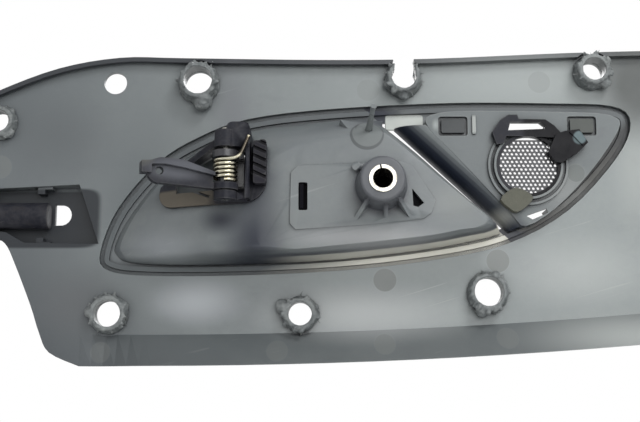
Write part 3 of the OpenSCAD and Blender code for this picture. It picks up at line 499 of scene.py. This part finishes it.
# soft patches: x, z, half width, half height, power (2 round, 8 square), softness, colour, amount and,
# where the depth counts, y and half depth
# painted sheen in the middle, at the top, low left, right, below the grille and on the flange's right; painted
# shade by the hinge, by the pocket, at the right end, top left and low left; painted shadow on the pocket's floor
panelPatches = {
    "sheenMiddle": (-7, -50, 60, 16, 2, 1, (0.42, 0.435, 0.435), 0.7),
    "sheenTop": (60, 50, 70, 26, 2, 1, (0.34, 0.37, 0.36), 0.4),
    "shadeByHinge": (-62, 36, 12, 34, 2, 1, (0.13, 0.135, 0.15), 0.55),
    "shadeByPocket": (-101, 5, 24, 46, 2, 1, (0.1, 0.115, 0.12), 0.65),
    "sheenLowLeft": (-76, -45, 26, 13, 2, 1, (0.4, 0.42, 0.44), 0.75),
    "litRight": (112, 10, 16, 40, 2, 1, (0.34, 0.36, 0.34), 0.4),
    "shadeRightEnd": (113, 50, 25, 32, 2, 0.8, (0.05, 0.056, 0.054), 0.95),
    "pocketFloorShadow": (-144, -9.5, 27, 13.5, 8, 0.1, (0.01, 0.013, 0.017), 0.97),
    "shadeTopLeft": (-137, 26, 34, 26, 2, 1, (0.09, 0.1, 0.105), 0.7),
    "shadeLowLeft": (-128, -46, 24, 20, 2, 1, (0.1, 0.105, 0.11), 0.6),
    "sheenBelowGrille": (85, -32, 44, 22, 2, 1, (0.4, 0.42, 0.41), 0.5),
    "sheenFlangeRight": (105, -60, 60, 15, 2, 1, (0.33, 0.35, 0.34), 0.85),
}
# bezel: the bead is dark and its flange grey, both are beige below the cup, partly as painted light, and
# black at the right as painted shade, and painted shade darkens the roll from the plate to the slit
bezelZones = [
    {
        "where": {"Along": (0, 1, 0), "From": 0.0388, "To": 0.0391}, "colour": (0.075, 0.085, 0.09),
        "amount": 0.85,
    },
    {
        "where": {"Along": (0, 1, 0), "From": 0.0402, "To": 0.0404}, "colour": (0.15, 0.165, 0.17),
        "amount": 0.9,
    },
    {
        "where": {"Along": (0, 1, 0), "From": 0.0388, "To": 0.0391,
            "Second": (0.35, 0, -0.94), "Second_From": 0.012, "Second_To": 0.026},
        "colour": (0.66, 0.65, 0.58), "amount": 0.95,
    },
    {
        "where": {"Along": (0, 1, 0), "From": 0.0388, "To": 0.0391,
            "Second": (0.7, 0, -0.7), "Second_From": 0.05, "Second_To": 0.054},
        "colour": (0.004, 0.005, 0.006), "amount": 0.9,
    },
    {
        "where": {"Along": (-0.6858, 0, -0.7278), "From": -0.0345, "To": -0.0295,
            "Second": (0.6858, 0, 0.7278), "Second_From": 0.0245, "Second_To": 0.0248},
        "colour": (0.008, 0.012, 0.024), "amount": 0.96,
    },
]
# painted shade in both clip windows; painted highlights on the rib, by the left window, on the ledge and at the
# roll's foot; painted sheen at the plate's foot
bezelPatches = {
    "clipWindowShadeLeft": (31.9, 29.2, 5.2, 3.2, 8, 0.05, (0.018, 0.022, 0.024), 0.94),
    "clipWindowShadeRight": (86.7, 29.3, 5.2, 3.2, 8, 0.05, (0.04, 0.046, 0.04), 0.93),
    "ribHighlight": (40.8, 29.8, 0.9, 4.3, 8, 0.3, (0.4, 0.42, 0.4), 0.6),
    "highlightByWindow": (24.6, 29.8, 2.2, 3.6, 2, 1, (0.36, 0.39, 0.38), 0.6),
    "ledgeHighlight": (11.8, 33, 8.4, 3.6, 8, 0.06, (0.52, 0.55, 0.52), 0.95, 41.35, 1.4),
    "rollFootHighlight": (52, -10, 8, 6, 2, 1, (0.3, 0.31, 0.29), 0.6),
    "plateFootSheen": (78, 2, 18, 13, 2, 1, (0.22, 0.23, 0.225), 0.6),
}
# the cup's floor is darker below the hinge, as painted shade and partly smudge, its boss is darker than the floor,
# and its pale patches are painted light
cupPatches = {
    "smudgeAndShade": (-65, -13.5, 12, 8, 2, 1, (0.006, 0.009, 0.018), 0.95),
    "shadeColumn": (-51, -22, 19, 26, 2, 1, (0.008, 0.011, 0.022), 0.92),
    "shadeByHinge": (-50, -2, 14, 20, 2, 1, (0.03, 0.034, 0.045), 0.75),
    "litFloor": (-6, -21, 44, 7, 2, 1, (0.32, 0.325, 0.33), 0.65),
    "bossTop": (0, -1, 12.8, 13, 2, 0.25, (0.05, 0.052, 0.062), 0.75),
    "litRight": (30, -6, 16, 12, 2, 1, (0.2, 0.215, 0.205), 0.5),
    "pinFootShade": (-5.5, 21.5, 7.2, 6.8, 2, 0.06, (0.035, 0.04, 0.042), 0.75),
    "pinFoot": (-5.3, 22.1, 6.4, 6, 2, 0.06, (0.13, 0.145, 0.145), 0.95),
    "litLeft": (-90, -24, 22, 12, 2, 1, (0.26, 0.28, 0.3), 0.5),
}
# the cup's wall has a band of painted shade and, by its rim, a beige one, partly painted light, that widens to the
# right
cupZones = [
    {
        "where": {"Along": (0, 1, 0), "From": 0.019, "To": 0.023,
            "Second": (0.7, 0, -0.7), "Second_From": -0.04, "Second_To": -0.012},
        "colour": (0.03, 0.034, 0.046), "amount": 0.85,
    },
    {
        "where": {"Along": (0, 1, 0), "From": 0.0255, "To": 0.0275,
            "Second": (0.35, 0, -0.94), "Second_From": 0.008, "Second_To": 0.022},
        "colour": (0.58, 0.57, 0.5), "amount": 0.95,
    },
]
# the lever is dark where it goes into the cup
leverZones = [
    {
        "where": {"Along": (0, -1, 0), "From": -0.0345, "To": -0.0335},
        "colour": (0.02, 0.02, 0.024),
    },
]
# the mechanism: dusty base plate, paler arm with a worn end; the retainer is black with a paler tile, a painted
# highlight on one facet
hingePatches = {
    "dustyBase": (-78, -5, 20, 6, 8, 0.25, (0.14, 0.125, 0.1), 0.85, 25, 8),
    "paleArm": (-80, 4, 20, 6, 2, 0.7, (0.1, 0.105, 0.12), 0.8, 0, 12),
    "wornEnd": (-93, 7, 5, 4, 2, 1, (0.13, 0.13, 0.115), 0.6),
    "retainerBlock": (86, 20, 26, 26, 8, 0.1, (0.003, 0.003, 0.004), 0.9),
    "retainerTileLit": (84.4, 23, 3.2, 3.2, 2, 0.3, (0.12, 0.16, 0.17), 0.9),
}
# the spring's leg is dark between its bend and its bright tip
legZones = [
    {
        "where": {"Along": (0, 0, 1), "From": 0.0105, "To": 0.0115,
            "Second": (0, 0, -1), "Second_From": -0.0185, "Second_To": -0.0178},
        "colour": (0.06, 0.05, 0.04), "amount": 0.95,
    },
]

plasticLooks = {
    "panel_plastic": {
        "colour": (0.2, 0.222, 0.222), "haze": (0.26, 0.284, 0.278), "hazeAmount": 0.5,
        "stain": (0.15, 0.162, 0.172), "stainAmount": 0.4, "dirtAndShade": (0.012, 0.014, 0.019),
        "dirtAndShadeAmount": 0.5, "wear": (0.42, 0.44, 0.43), "wearAmount": 0.4, "hazeScale": 22,
        "smooth": 0.4, "rough": 0.55, "mark": (0.15, 0.16, 0.155), "marks": ejectorMarks,
        "scratch": 0.7, "zones": panelZones, "patches": panelPatches, "specular": 0.4,
    },
    "bezel_plastic": {
        "colour": (0.115, 0.13, 0.134), "haze": (0.15, 0.166, 0.164), "hazeAmount": 0.5,
        "stain": (0.085, 0.094, 0.1), "stainAmount": 0.35, "dirtAndShade": (0.008, 0.009, 0.013),
        "dirtAndShadeAmount": 0.7, "wear": (0.34, 0.35, 0.34), "wearAmount": 0.5, "hazeScale": 40,
        "smooth": 0.4, "rough": 0.55, "mark": (0.1, 0.112, 0.105), "marks": [(83.4, 8.8, 3.9, 0.6)],
        "dirtAndShadeReach": 0.004, "specular": 0.35, "zones": bezelZones, "patches": bezelPatches,
    },
    "cup_plastic": {
        "colour": (0.135, 0.15, 0.155), "haze": (0.185, 0.2, 0.195), "hazeAmount": 0.45,
        "stain": (0.11, 0.12, 0.135), "stainAmount": 0.4, "dirtAndShade": (0.008, 0.009, 0.014),
        "dirtAndShadeAmount": 0.5, "wear": (0.34, 0.35, 0.34), "wearAmount": 0.25, "hazeScale": 30,
        "smooth": 0.38, "rough": 0.52, "scratch": 0.2, "specular": 0.4, "patches": cupPatches,
        "zones": cupZones,
    },
    "cover_plastic": {
        "colour": (0.003, 0.003, 0.005), "haze": (0.005, 0.005, 0.007), "hazeAmount": 0.3,
        "stain": (0.004, 0.003, 0.004), "stainAmount": 0.3, "dirtAndShade": (0.002, 0.002, 0.003),
        "dirtAndShadeAmount": 0.8, "wear": (0.03, 0.03, 0.03), "wearAmount": 0.2, "hazeScale": 50,
        "smooth": 0.45, "rough": 0.6, "specular": 0.04,
    },
    "hinge_plastic": {
        "colour": (0.015, 0.016, 0.022), "haze": (0.045, 0.045, 0.05), "hazeAmount": 0.6,
        "stain": (0.06, 0.05, 0.04), "stainAmount": 0.2, "dirtAndShade": (0.003, 0.003, 0.005),
        "dirtAndShadeAmount": 0.85, "wear": (0.13, 0.13, 0.125), "wearAmount": 0.55, "hazeScale": 110,
        "smooth": 0.34, "rough": 0.55, "dirtAndShadeReach": 0.003, "specular": 0.1, "patches": hingePatches,
    },
    "melted_plastic": {
        "colour": (0.13, 0.143, 0.145), "haze": (0.25, 0.265, 0.26), "hazeAmount": 0.7,
        "stain": (0.03, 0.033, 0.037), "stainAmount": 0.7, "dirtAndShade": (0.004, 0.004, 0.006),
        "dirtAndShadeAmount": 0.97, "wear": (0.3, 0.31, 0.3), "wearAmount": 0.35, "hazeScale": 120,
        "smooth": 0.35, "rough": 0.6, "dirtAndShadeReach": 0.002, "grain": 0.35, "grainScale": 900.0,
        "specular": 0.3,
    },
    "buffer_rubber": {
        "colour": (0.009, 0.009, 0.014), "haze": (0.03, 0.03, 0.03), "hazeAmount": 0.5,
        "stain": (0.03, 0.02, 0.03), "stainAmount": 0.4, "dirtAndShade": (0.003, 0.003, 0.005),
        "dirtAndShadeAmount": 0.9, "wear": (0.1, 0.1, 0.1), "wearAmount": 0.4, "hazeScale": 120,
        "smooth": 0.45, "rough": 0.7, "dirtAndShadeReach": 0.002, "specular": 0.14,
    },
    "foam": {
        "colour": (0.105, 0.107, 0.087), "haze": (0.14, 0.14, 0.115), "hazeAmount": 0.5,
        "stain": (0.09, 0.09, 0.075), "stainAmount": 0.5, "dirtAndShade": (0.01, 0.01, 0.01),
        "dirtAndShadeAmount": 0.8, "wear": (0.2, 0.2, 0.17), "wearAmount": 0.2, "hazeScale": 200,
        "smooth": 0.85, "rough": 0.95, "grain": 0.6, "grainScale": 2600.0, "specular": 0.2,
    },
    "lever_paint": {
        "colour": (0.3, 0.305, 0.31), "haze": (0.34, 0.345, 0.35), "hazeAmount": 0.3,
        "stain": (0.27, 0.27, 0.28), "stainAmount": 0.3, "dirtAndShade": (0.03, 0.03, 0.03),
        "dirtAndShadeAmount": 0.4, "wear": (0.12, 0.12, 0.12), "wearAmount": 0.5, "hazeScale": 60,
        "smooth": 0.26, "rough": 0.36, "grain": 0.03, "scratch": 0.2, "zones": leverZones,
    },
}

metalLooks = {
    "pin_steel": {
        "colour": (0.4, 0.4, 0.38), "tarnish": (0.16, 0.14, 0.12), "tarnishAmount": 0.7,
        "dirtAndShade": (0.03, 0.025, 0.02), "dirtAndShadeAmount": 0.6, "tarnishScale": 200, "smooth": 0.25,
        "rough": 0.5,
    },
    "spring_steel": {
        "colour": (0.5, 0.48, 0.38), "tarnish": (0.3, 0.24, 0.13), "tarnishAmount": 0.6,
        "dirtAndShade": (0.03, 0.02, 0.01), "dirtAndShadeAmount": 0.95, "tarnishScale": 300, "smooth": 0.2,
        "rough": 0.38, "zones": legZones,
    },
    "sleeve_steel": {
        "colour": (0.36, 0.35, 0.31), "tarnish": (0.27, 0.24, 0.2), "tarnishAmount": 0.6,
        "dirtAndShade": (0.06, 0.045, 0.03), "dirtAndShadeAmount": 0.6, "tarnishScale": 260, "smooth": 0.25,
        "rough": 0.45,
    },
    "mesh_metal": {
        "colour": (0.02, 0.021, 0.025), "tarnish": (0.07, 0.07, 0.068), "tarnishAmount": 0.6,
        "dirtAndShade": (0.01, 0.01, 0.01), "dirtAndShadeAmount": 0.4, "tarnishScale": 300, "smooth": 0.35,
        "rough": 0.6, "metallic": 0.3,
    },
}

materials = {name: plasticMaterial(name, look) for name, look in plasticLooks.items()}
materials.update({name: metalMaterial(name, look) for name, look in metalLooks.items()})
print("materials made:", len(materials))

slotOfNode = {part["node"]: part["material_slot"] for part in frame["record"]["subparts"]}
bodies = frame["record"]["behaviour"]["bodies"]
bodyOfNode = {node: body for body, nodes in bodies.items() for node in nodes}


def dressFrame():
    # every CAD node gets its own procedural finish
    for name, node in frame["nodes"].items():
        paint(node, materials[slotOfNode[name]])


mergeDistance = 0.004 * mm


def smoothCopy(nodeName, degrees):
    # a copy of a CAD node whose curved faces shade smoothly
    source = frame["nodes"][nodeName]
    piece = bpy.data.objects.new(nodeName + "_smooth", source.data.copy())
    bpy.context.collection.objects.link(piece)
    workOn(piece)
    bpy.ops.object.mode_set(mode="EDIT")
    bpy.ops.mesh.select_all(action="SELECT")
    bpy.ops.mesh.remove_doubles(threshold=mergeDistance)
    bpy.ops.object.mode_set(mode="OBJECT")
    smoothShade(piece, degrees)
    weighted = piece.modifiers.new("weighted", "WEIGHTED_NORMAL")
    weighted.keep_sharp = True
    weighted.weight = 100
    applyModifiers(piece)
    slotName = slotOfNode[nodeName]
    finishPiece(piece, nodeName + "_smooth", bodyOfNode[nodeName], materials[slotName],
        [nodeName])


# return spring: round wire wound with the Screw modifier, and a leg that turns up

springFacts = {
    "turns": 5,
    "wire": 0.7 * mm,
    "mean": 4.3 * mm,
    "rise": 8.4 * mm,
    "wireSides": 14,
    "turnSteps": 40,
    "legPoints": [(0, -4.3, 0), (2.6, -4.3, 0.1), (4.6, -4.3, 0.5), (6.2, -4.3, 1.7), (7, -4.3, 3.2),
        (8, -4.3, 5.6), (9.6, -4.3, 9.5)],
}


def makeSpring(facts):
    low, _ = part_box("return_spring")
    joint = frame["joints"][0]["pos_m"]
    bottom = low.z + facts["wire"]
    rise = facts["rise"]
    deselectAll()
    bpy.ops.mesh.primitive_circle_add(vertices=facts["wireSides"], radius=facts["wire"],
        rotation=(math.radians(90), 0, 0), location=(facts["mean"], 0, 0))
    coil = bpy.context.object
    settle(coil)
    screw = coil.modifiers.new("coil", "SCREW")
    screw.axis = "Z"
    screw.angle = math.tau
    screw.screw_offset = rise / facts["turns"]
    screw.iterations = facts["turns"]
    screw.steps = screw.render_steps = facts["turnSteps"]
    screw.use_merge_vertices = False
    applyModifiers(coil)
    bpy.ops.object.mode_set(mode="EDIT")
    bpy.ops.mesh.select_all(action="SELECT")
    bpy.ops.transform.rotate(value=math.radians(90), orient_axis="Z", center_override=(0, 0, 0))
    bpy.ops.mesh.select_mode(type="EDGE")
    bpy.ops.mesh.select_all(action="DESELECT")
    bpy.ops.mesh.select_non_manifold()
    bpy.ops.mesh.edge_face_add()
    bpy.ops.mesh.select_all(action="SELECT")
    bpy.ops.mesh.normals_make_consistent(inside=False)
    bpy.ops.object.mode_set(mode="OBJECT")
    coil.location = (joint[0], joint[1], bottom)
    settle(coil)
    bpy.ops.curve.primitive_nurbs_path_add()
    leg = bpy.context.object
    leg.data.splines.clear()
    spline = leg.data.splines.new("NURBS")
    spline.points.add(len(facts["legPoints"]) - 1)
    for point, place in zip(spline.points, facts["legPoints"]):
        point.co = (joint[0] + place[0] * mm, joint[1] + place[1] * mm, bottom + rise + place[2] * mm, 1)
    spline.use_endpoint_u = True
    spline.order_u = 3
    leg.data.bevel_depth = facts["wire"]
    leg.data.bevel_resolution = 4
    leg.data.use_fill_caps = True
    workOn(leg)
    bpy.ops.object.convert(target="MESH")
    spring = joinPieces([coil, bpy.context.object])
    smoothShade(spring, 50)
    finishPiece(spring, "returnSpringWire", "carrier", materials["spring_steel"],
        ["return_spring"])


# melted stakes: a hollow post whose end was melted over, with lumps, a tongue, strings and torn edges;
# the tongue's first two values are its direction, the third its size in mm

stakeFacts = {
    "stake_top_left": {
        "place": (-77, 49.3), "bore": 6.0, "seed": 4, "lumps": 26, "tongue": (0.25, -1, 4.6),
    },
    "stake_top_mid": {
        "place": (11.3, 51), "bore": 5.2, "seed": 7, "lumps": 16, "broken": True,
        "tongue": (0, -1, 2.6),
    },
    "stake_top_right": {
        "place": (93, 54.3), "bore": 4.9, "seed": 12, "lumps": 20, "tongue": (0.7, -0.7, 3),
    },
    "stake_low_left": {
        "place": (-113, -50.3), "bore": 5.5, "seed": 15, "lumps": 18, "tongue": (-1, 0.1, 2.4),
    },
    "stake_low_mid": {
        "place": (-33, -50.3), "bore": 4.9, "seed": 21, "lumps": 24, "tongue": (-1, 0.4, 3.4),
    },
    "stake_low_right": {
        "place": (45.6, -41.2), "bore": 6.0, "seed": 27, "lumps": 18, "tongue": (-0.3, -1, 3),
    },
    "stake_end": {
        "place": (-162.5, 32), "bore": 4.7, "seed": 31, "lumps": 16, "tongue": (0.6, -0.7, 2.6),
    },
}

# what all stakes share: the voxel sizes, the coarse and fine swelling of the melt, the torn strings, the
# slab that keeps the panel's side flat, the wedge that breaks one stake open, and how far the bore and
# the panel's side hold the surface still
meltFacts = {
    "joinVoxel": 0.42 * mm,
    "evenVoxel": 0.4 * mm,
    "swells": [(3.4 * mm, 1.5 * mm), (1.1 * mm, 0.75 * mm)],
    "strings": 9,
    "slab": (60 * mm, 10 * mm, 60 * mm),
    "wedge": (8.6 * mm, 40 * mm, 20 * mm),
    "wedgeTurn": -4,
    "leastLoose": 0.12,
    "looseOver": 1.4 * mm,
    "heldOver": 0.8 * mm,
}


def cutAway(piece, cutter):
    workOn(piece)
    boolean = piece.modifiers.new("cut", "BOOLEAN")
    boolean.object = cutter
    boolean.solver = "EXACT"
    applyModifiers(piece)
    bpy.data.objects.remove(cutter)


def boxCutter(place, size, turn=0):
    bpy.ops.mesh.primitive_cube_add(size=1, location=place)
    cutter = bpy.context.object
    cutter.scale = size
    cutter.rotation_euler = (0, math.radians(turn), 0)
    return cutter


def voxelRemesh(piece, size):
    remesh = piece.modifiers.new("remesh", "REMESH")
    remesh.mode = "VOXEL"
    remesh.voxel_size = size
    applyModifiers(piece)


def roughStake(facts, centre, low, height, wide):
    # the post with its lumps, the tongue of plastic that ran down and the torn strings, in one object
    chance = random.Random(facts["seed"])
    deselectAll()
    bpy.ops.mesh.primitive_cone_add(vertices=56, radius1=wide * 0.93, radius2=wide - 1.9 * mm,
        depth=height, location=centre, rotation=(math.radians(90), 0, 0))
    blobs = [bpy.context.object]
    for _ in range(facts["lumps"]):
        angle = chance.uniform(0, math.tau)
        size = chance.uniform(0.9, 2.1) * mm
        reach = wide * chance.uniform(0.72, 0.97) - size * 0.45
        depth = low.y + height * chance.uniform(0.0, 0.75)
        bpy.ops.mesh.primitive_ico_sphere_add(subdivisions=2, radius=size,
            location=(centre.x + reach * math.cos(angle), depth, centre.z + reach * math.sin(angle)),
            rotation=(chance.uniform(0, 3), chance.uniform(0, 3), chance.uniform(0, 3)))
        lump = bpy.context.object
        lump.scale = (1, chance.uniform(0.4, 0.9), chance.uniform(0.5, 1.1))
        blobs.append(lump)
    across, up, size = facts["tongue"]
    bpy.ops.mesh.primitive_ico_sphere_add(subdivisions=3, radius=size * mm,
        location=(centre.x + across * wide * 0.85, low.y + height * 0.45, centre.z + up * wide * 0.85))
    bpy.context.object.scale = (0.9, 0.75, 1)
    blobs.append(bpy.context.object)
    edge = wide * 0.94
    for _ in range(meltFacts["strings"]):
        angle = chance.uniform(0, math.tau)
        bpy.ops.mesh.primitive_cone_add(vertices=7, radius1=0.8 * mm, radius2=0.25 * mm,
            depth=chance.uniform(2.2, 4.2) * mm,
            location=(centre.x + edge * math.cos(angle), low.y + height * chance.uniform(0.1, 0.8),
                centre.z + edge * math.sin(angle)),
            rotation=(chance.uniform(-0.5, 0.5),
                math.radians(90) - angle + chance.uniform(-0.7, 0.7), 0))
        blobs.append(bpy.context.object)
    return joinPieces(blobs)


def swellSurface(post, centre, high, bore):
    # two clouds push the surface about; the bore moves little and the panel's side not at all
    workOn(post)
    loose = post.vertex_groups.new(name="loose")
    for vertex in post.data.vertices:
        reach = math.hypot(vertex.co.x - centre.x, vertex.co.z - centre.z) - bore
        weight = min(1, max(meltFacts["leastLoose"], reach / meltFacts["looseOver"]))
        weight *= min(1, max(0, (high.y - vertex.co.y) / meltFacts["heldOver"]))
        loose.add([vertex.index], weight, "REPLACE")
    for size, strength in meltFacts["swells"]:
        clouds = bpy.data.textures.new("meltClouds", "CLOUDS")
        clouds.noise_scale = size
        clouds.noise_depth = 3
        push = post.modifiers.new("push", "DISPLACE")
        push.texture = clouds
        push.texture_coords = "LOCAL"
        push.strength = strength
        push.mid_level = 0.55
        push.vertex_group = "loose"
    applyModifiers(post)


def meltedStake(nodeName, facts):
    low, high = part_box(nodeName)
    middle = (low + high) / 2
    centre = Vector((facts["place"][0] * mm, middle.y, facts["place"][1] * mm))
    bore = facts["bore"] * mm
    height = high.y - low.y
    wide = (high.x - low.x) / 2
    post = roughStake(facts, centre, low, height, wide)
    settle(post)
    voxelRemesh(post, meltFacts["joinVoxel"])
    bpy.ops.mesh.primitive_cylinder_add(vertices=40, radius=bore, depth=height * 4,
        location=centre, rotation=(math.radians(90), 0, 0))
    cutAway(post, bpy.context.object)
    slab = meltFacts["slab"]
    cutAway(post, boxCutter((centre.x, high.y + slab[1] / 2, centre.z), slab))
    if facts.get("broken"):
        wedge = meltFacts["wedge"]
        place = (centre.x, middle.y, centre.z + wedge[2] / 2)
        cutAway(post, boxCutter(place, wedge, meltFacts["wedgeTurn"]))
    voxelRemesh(post, meltFacts["evenVoxel"])
    swellSurface(post, centre, high, bore)
    smoothShade(post, 70)
    finishPiece(post, nodeName + "_melted", "carrier", materials["melted_plastic"],
        [nodeName])


# floor, lamps and sky

stageFacts = {"floorHeight": -0.125, "floorRadius": 1.5, "floorColour": (0.86, 0.86, 0.85)}
lampFacts = [
    {
        "name": "softBox", "place": (0.24, -0.86, 0.17), "aim": (0.03, 0.03, 0.0),
        "size": (0.62, 0.36), "power": 3.6,
    },
    {
        "name": "keyLamp", "place": (0.3, -0.4, 0.5), "aim": (0.04, 0.03, 0.0),
        "size": (0.25, 0.25), "power": 2.5,
    },
    {
        "name": "fillLamp", "place": (-0.6, -0.5, 0.1), "aim": (-0.05, 0.03, 0.0),
        "size": (0.5, 0.5), "power": 0.4,
    },
    {
        "name": "cabinLamp", "place": (0.1, 0.8, 0.5), "aim": (0.0, 0.03, 0.0), "size": (0.6, 0.6),
        "power": 6.0,
    },
]
skyStrength = 0.36


def seenDirectly(tree):
    # camera, glossy and transmission rays see the plain white background
    path = tree.nodes.new("ShaderNodeLightPath")
    first = newNode(tree, "ShaderNodeMath", operation="MAXIMUM")
    second = newNode(tree, "ShaderNodeMath", operation="MAXIMUM")
    link(tree, path.outputs["Is Camera Ray"], first.inputs[0])
    link(tree, path.outputs["Is Glossy Ray"], first.inputs[1])
    link(tree, first.outputs[0], second.inputs[0])
    link(tree, path.outputs["Is Transmission Ray"], second.inputs[1])
    return second.outputs[0]


def addFloor(facts):
    deselectAll()
    bpy.ops.mesh.primitive_circle_add(vertices=96, radius=facts["floorRadius"], fill_type="NGON",
        location=(0, 0, facts["floorHeight"]))
    floor = bpy.context.object
    floor.name = "floor"
    material, _, shader, _ = newMaterial("litFloor")
    shader.inputs["Base Color"].default_value = (*facts["floorColour"], 1)
    shader.inputs["Roughness"].default_value = 0.9
    paint(floor, material)


def addSky(strength):
    world = bpy.data.worlds.new("paleSky")
    bpy.context.scene.world = world
    world.use_nodes = True
    tree = world.node_tree
    shade = tree.nodes["Background"]
    mix = newNode(tree, "ShaderNodeMix", data_type="RGBA")
    mix.inputs["A"].default_value = (strength, strength, strength * 1.03, 1)
    mix.inputs["B"].default_value = (1, 1, 1, 1)
    link(tree, seenDirectly(tree), mix.inputs["Factor"])
    link(tree, mix.outputs["Result"], shade.inputs["Color"])


def addLamp(facts):
    bpy.ops.object.light_add(type="AREA", location=facts["place"])
    lamp = bpy.context.object
    lamp.name = facts["name"]
    lamp.data.shape = "RECTANGLE"
    lamp.data.size, lamp.data.size_y = facts["size"]
    lamp.data.energy = facts["power"]
    away = Vector(facts["place"]) - Vector(facts["aim"])
    lamp.rotation_euler = away.to_track_quat("Z", "Y").to_euler()


bpy.context.scene.view_settings.view_transform = "Standard"
addCamera(cameraFacts)
addFloor(stageFacts)
addSky(skyStrength)
for lamp in lampFacts:
    addLamp(lamp)
print("camera, floor and lamps placed")

dressFrame()
for nodeName, degrees in (("handle_cup", 22), ("hinge_bracket", 30)):
    smoothCopy(nodeName, degrees)
print("smooth copies made")

makeSpring(springFacts)
print("spring wound")

for nodeName, facts in stakeFacts.items():
    meltedStake(nodeName, facts)
print("stakes melted")
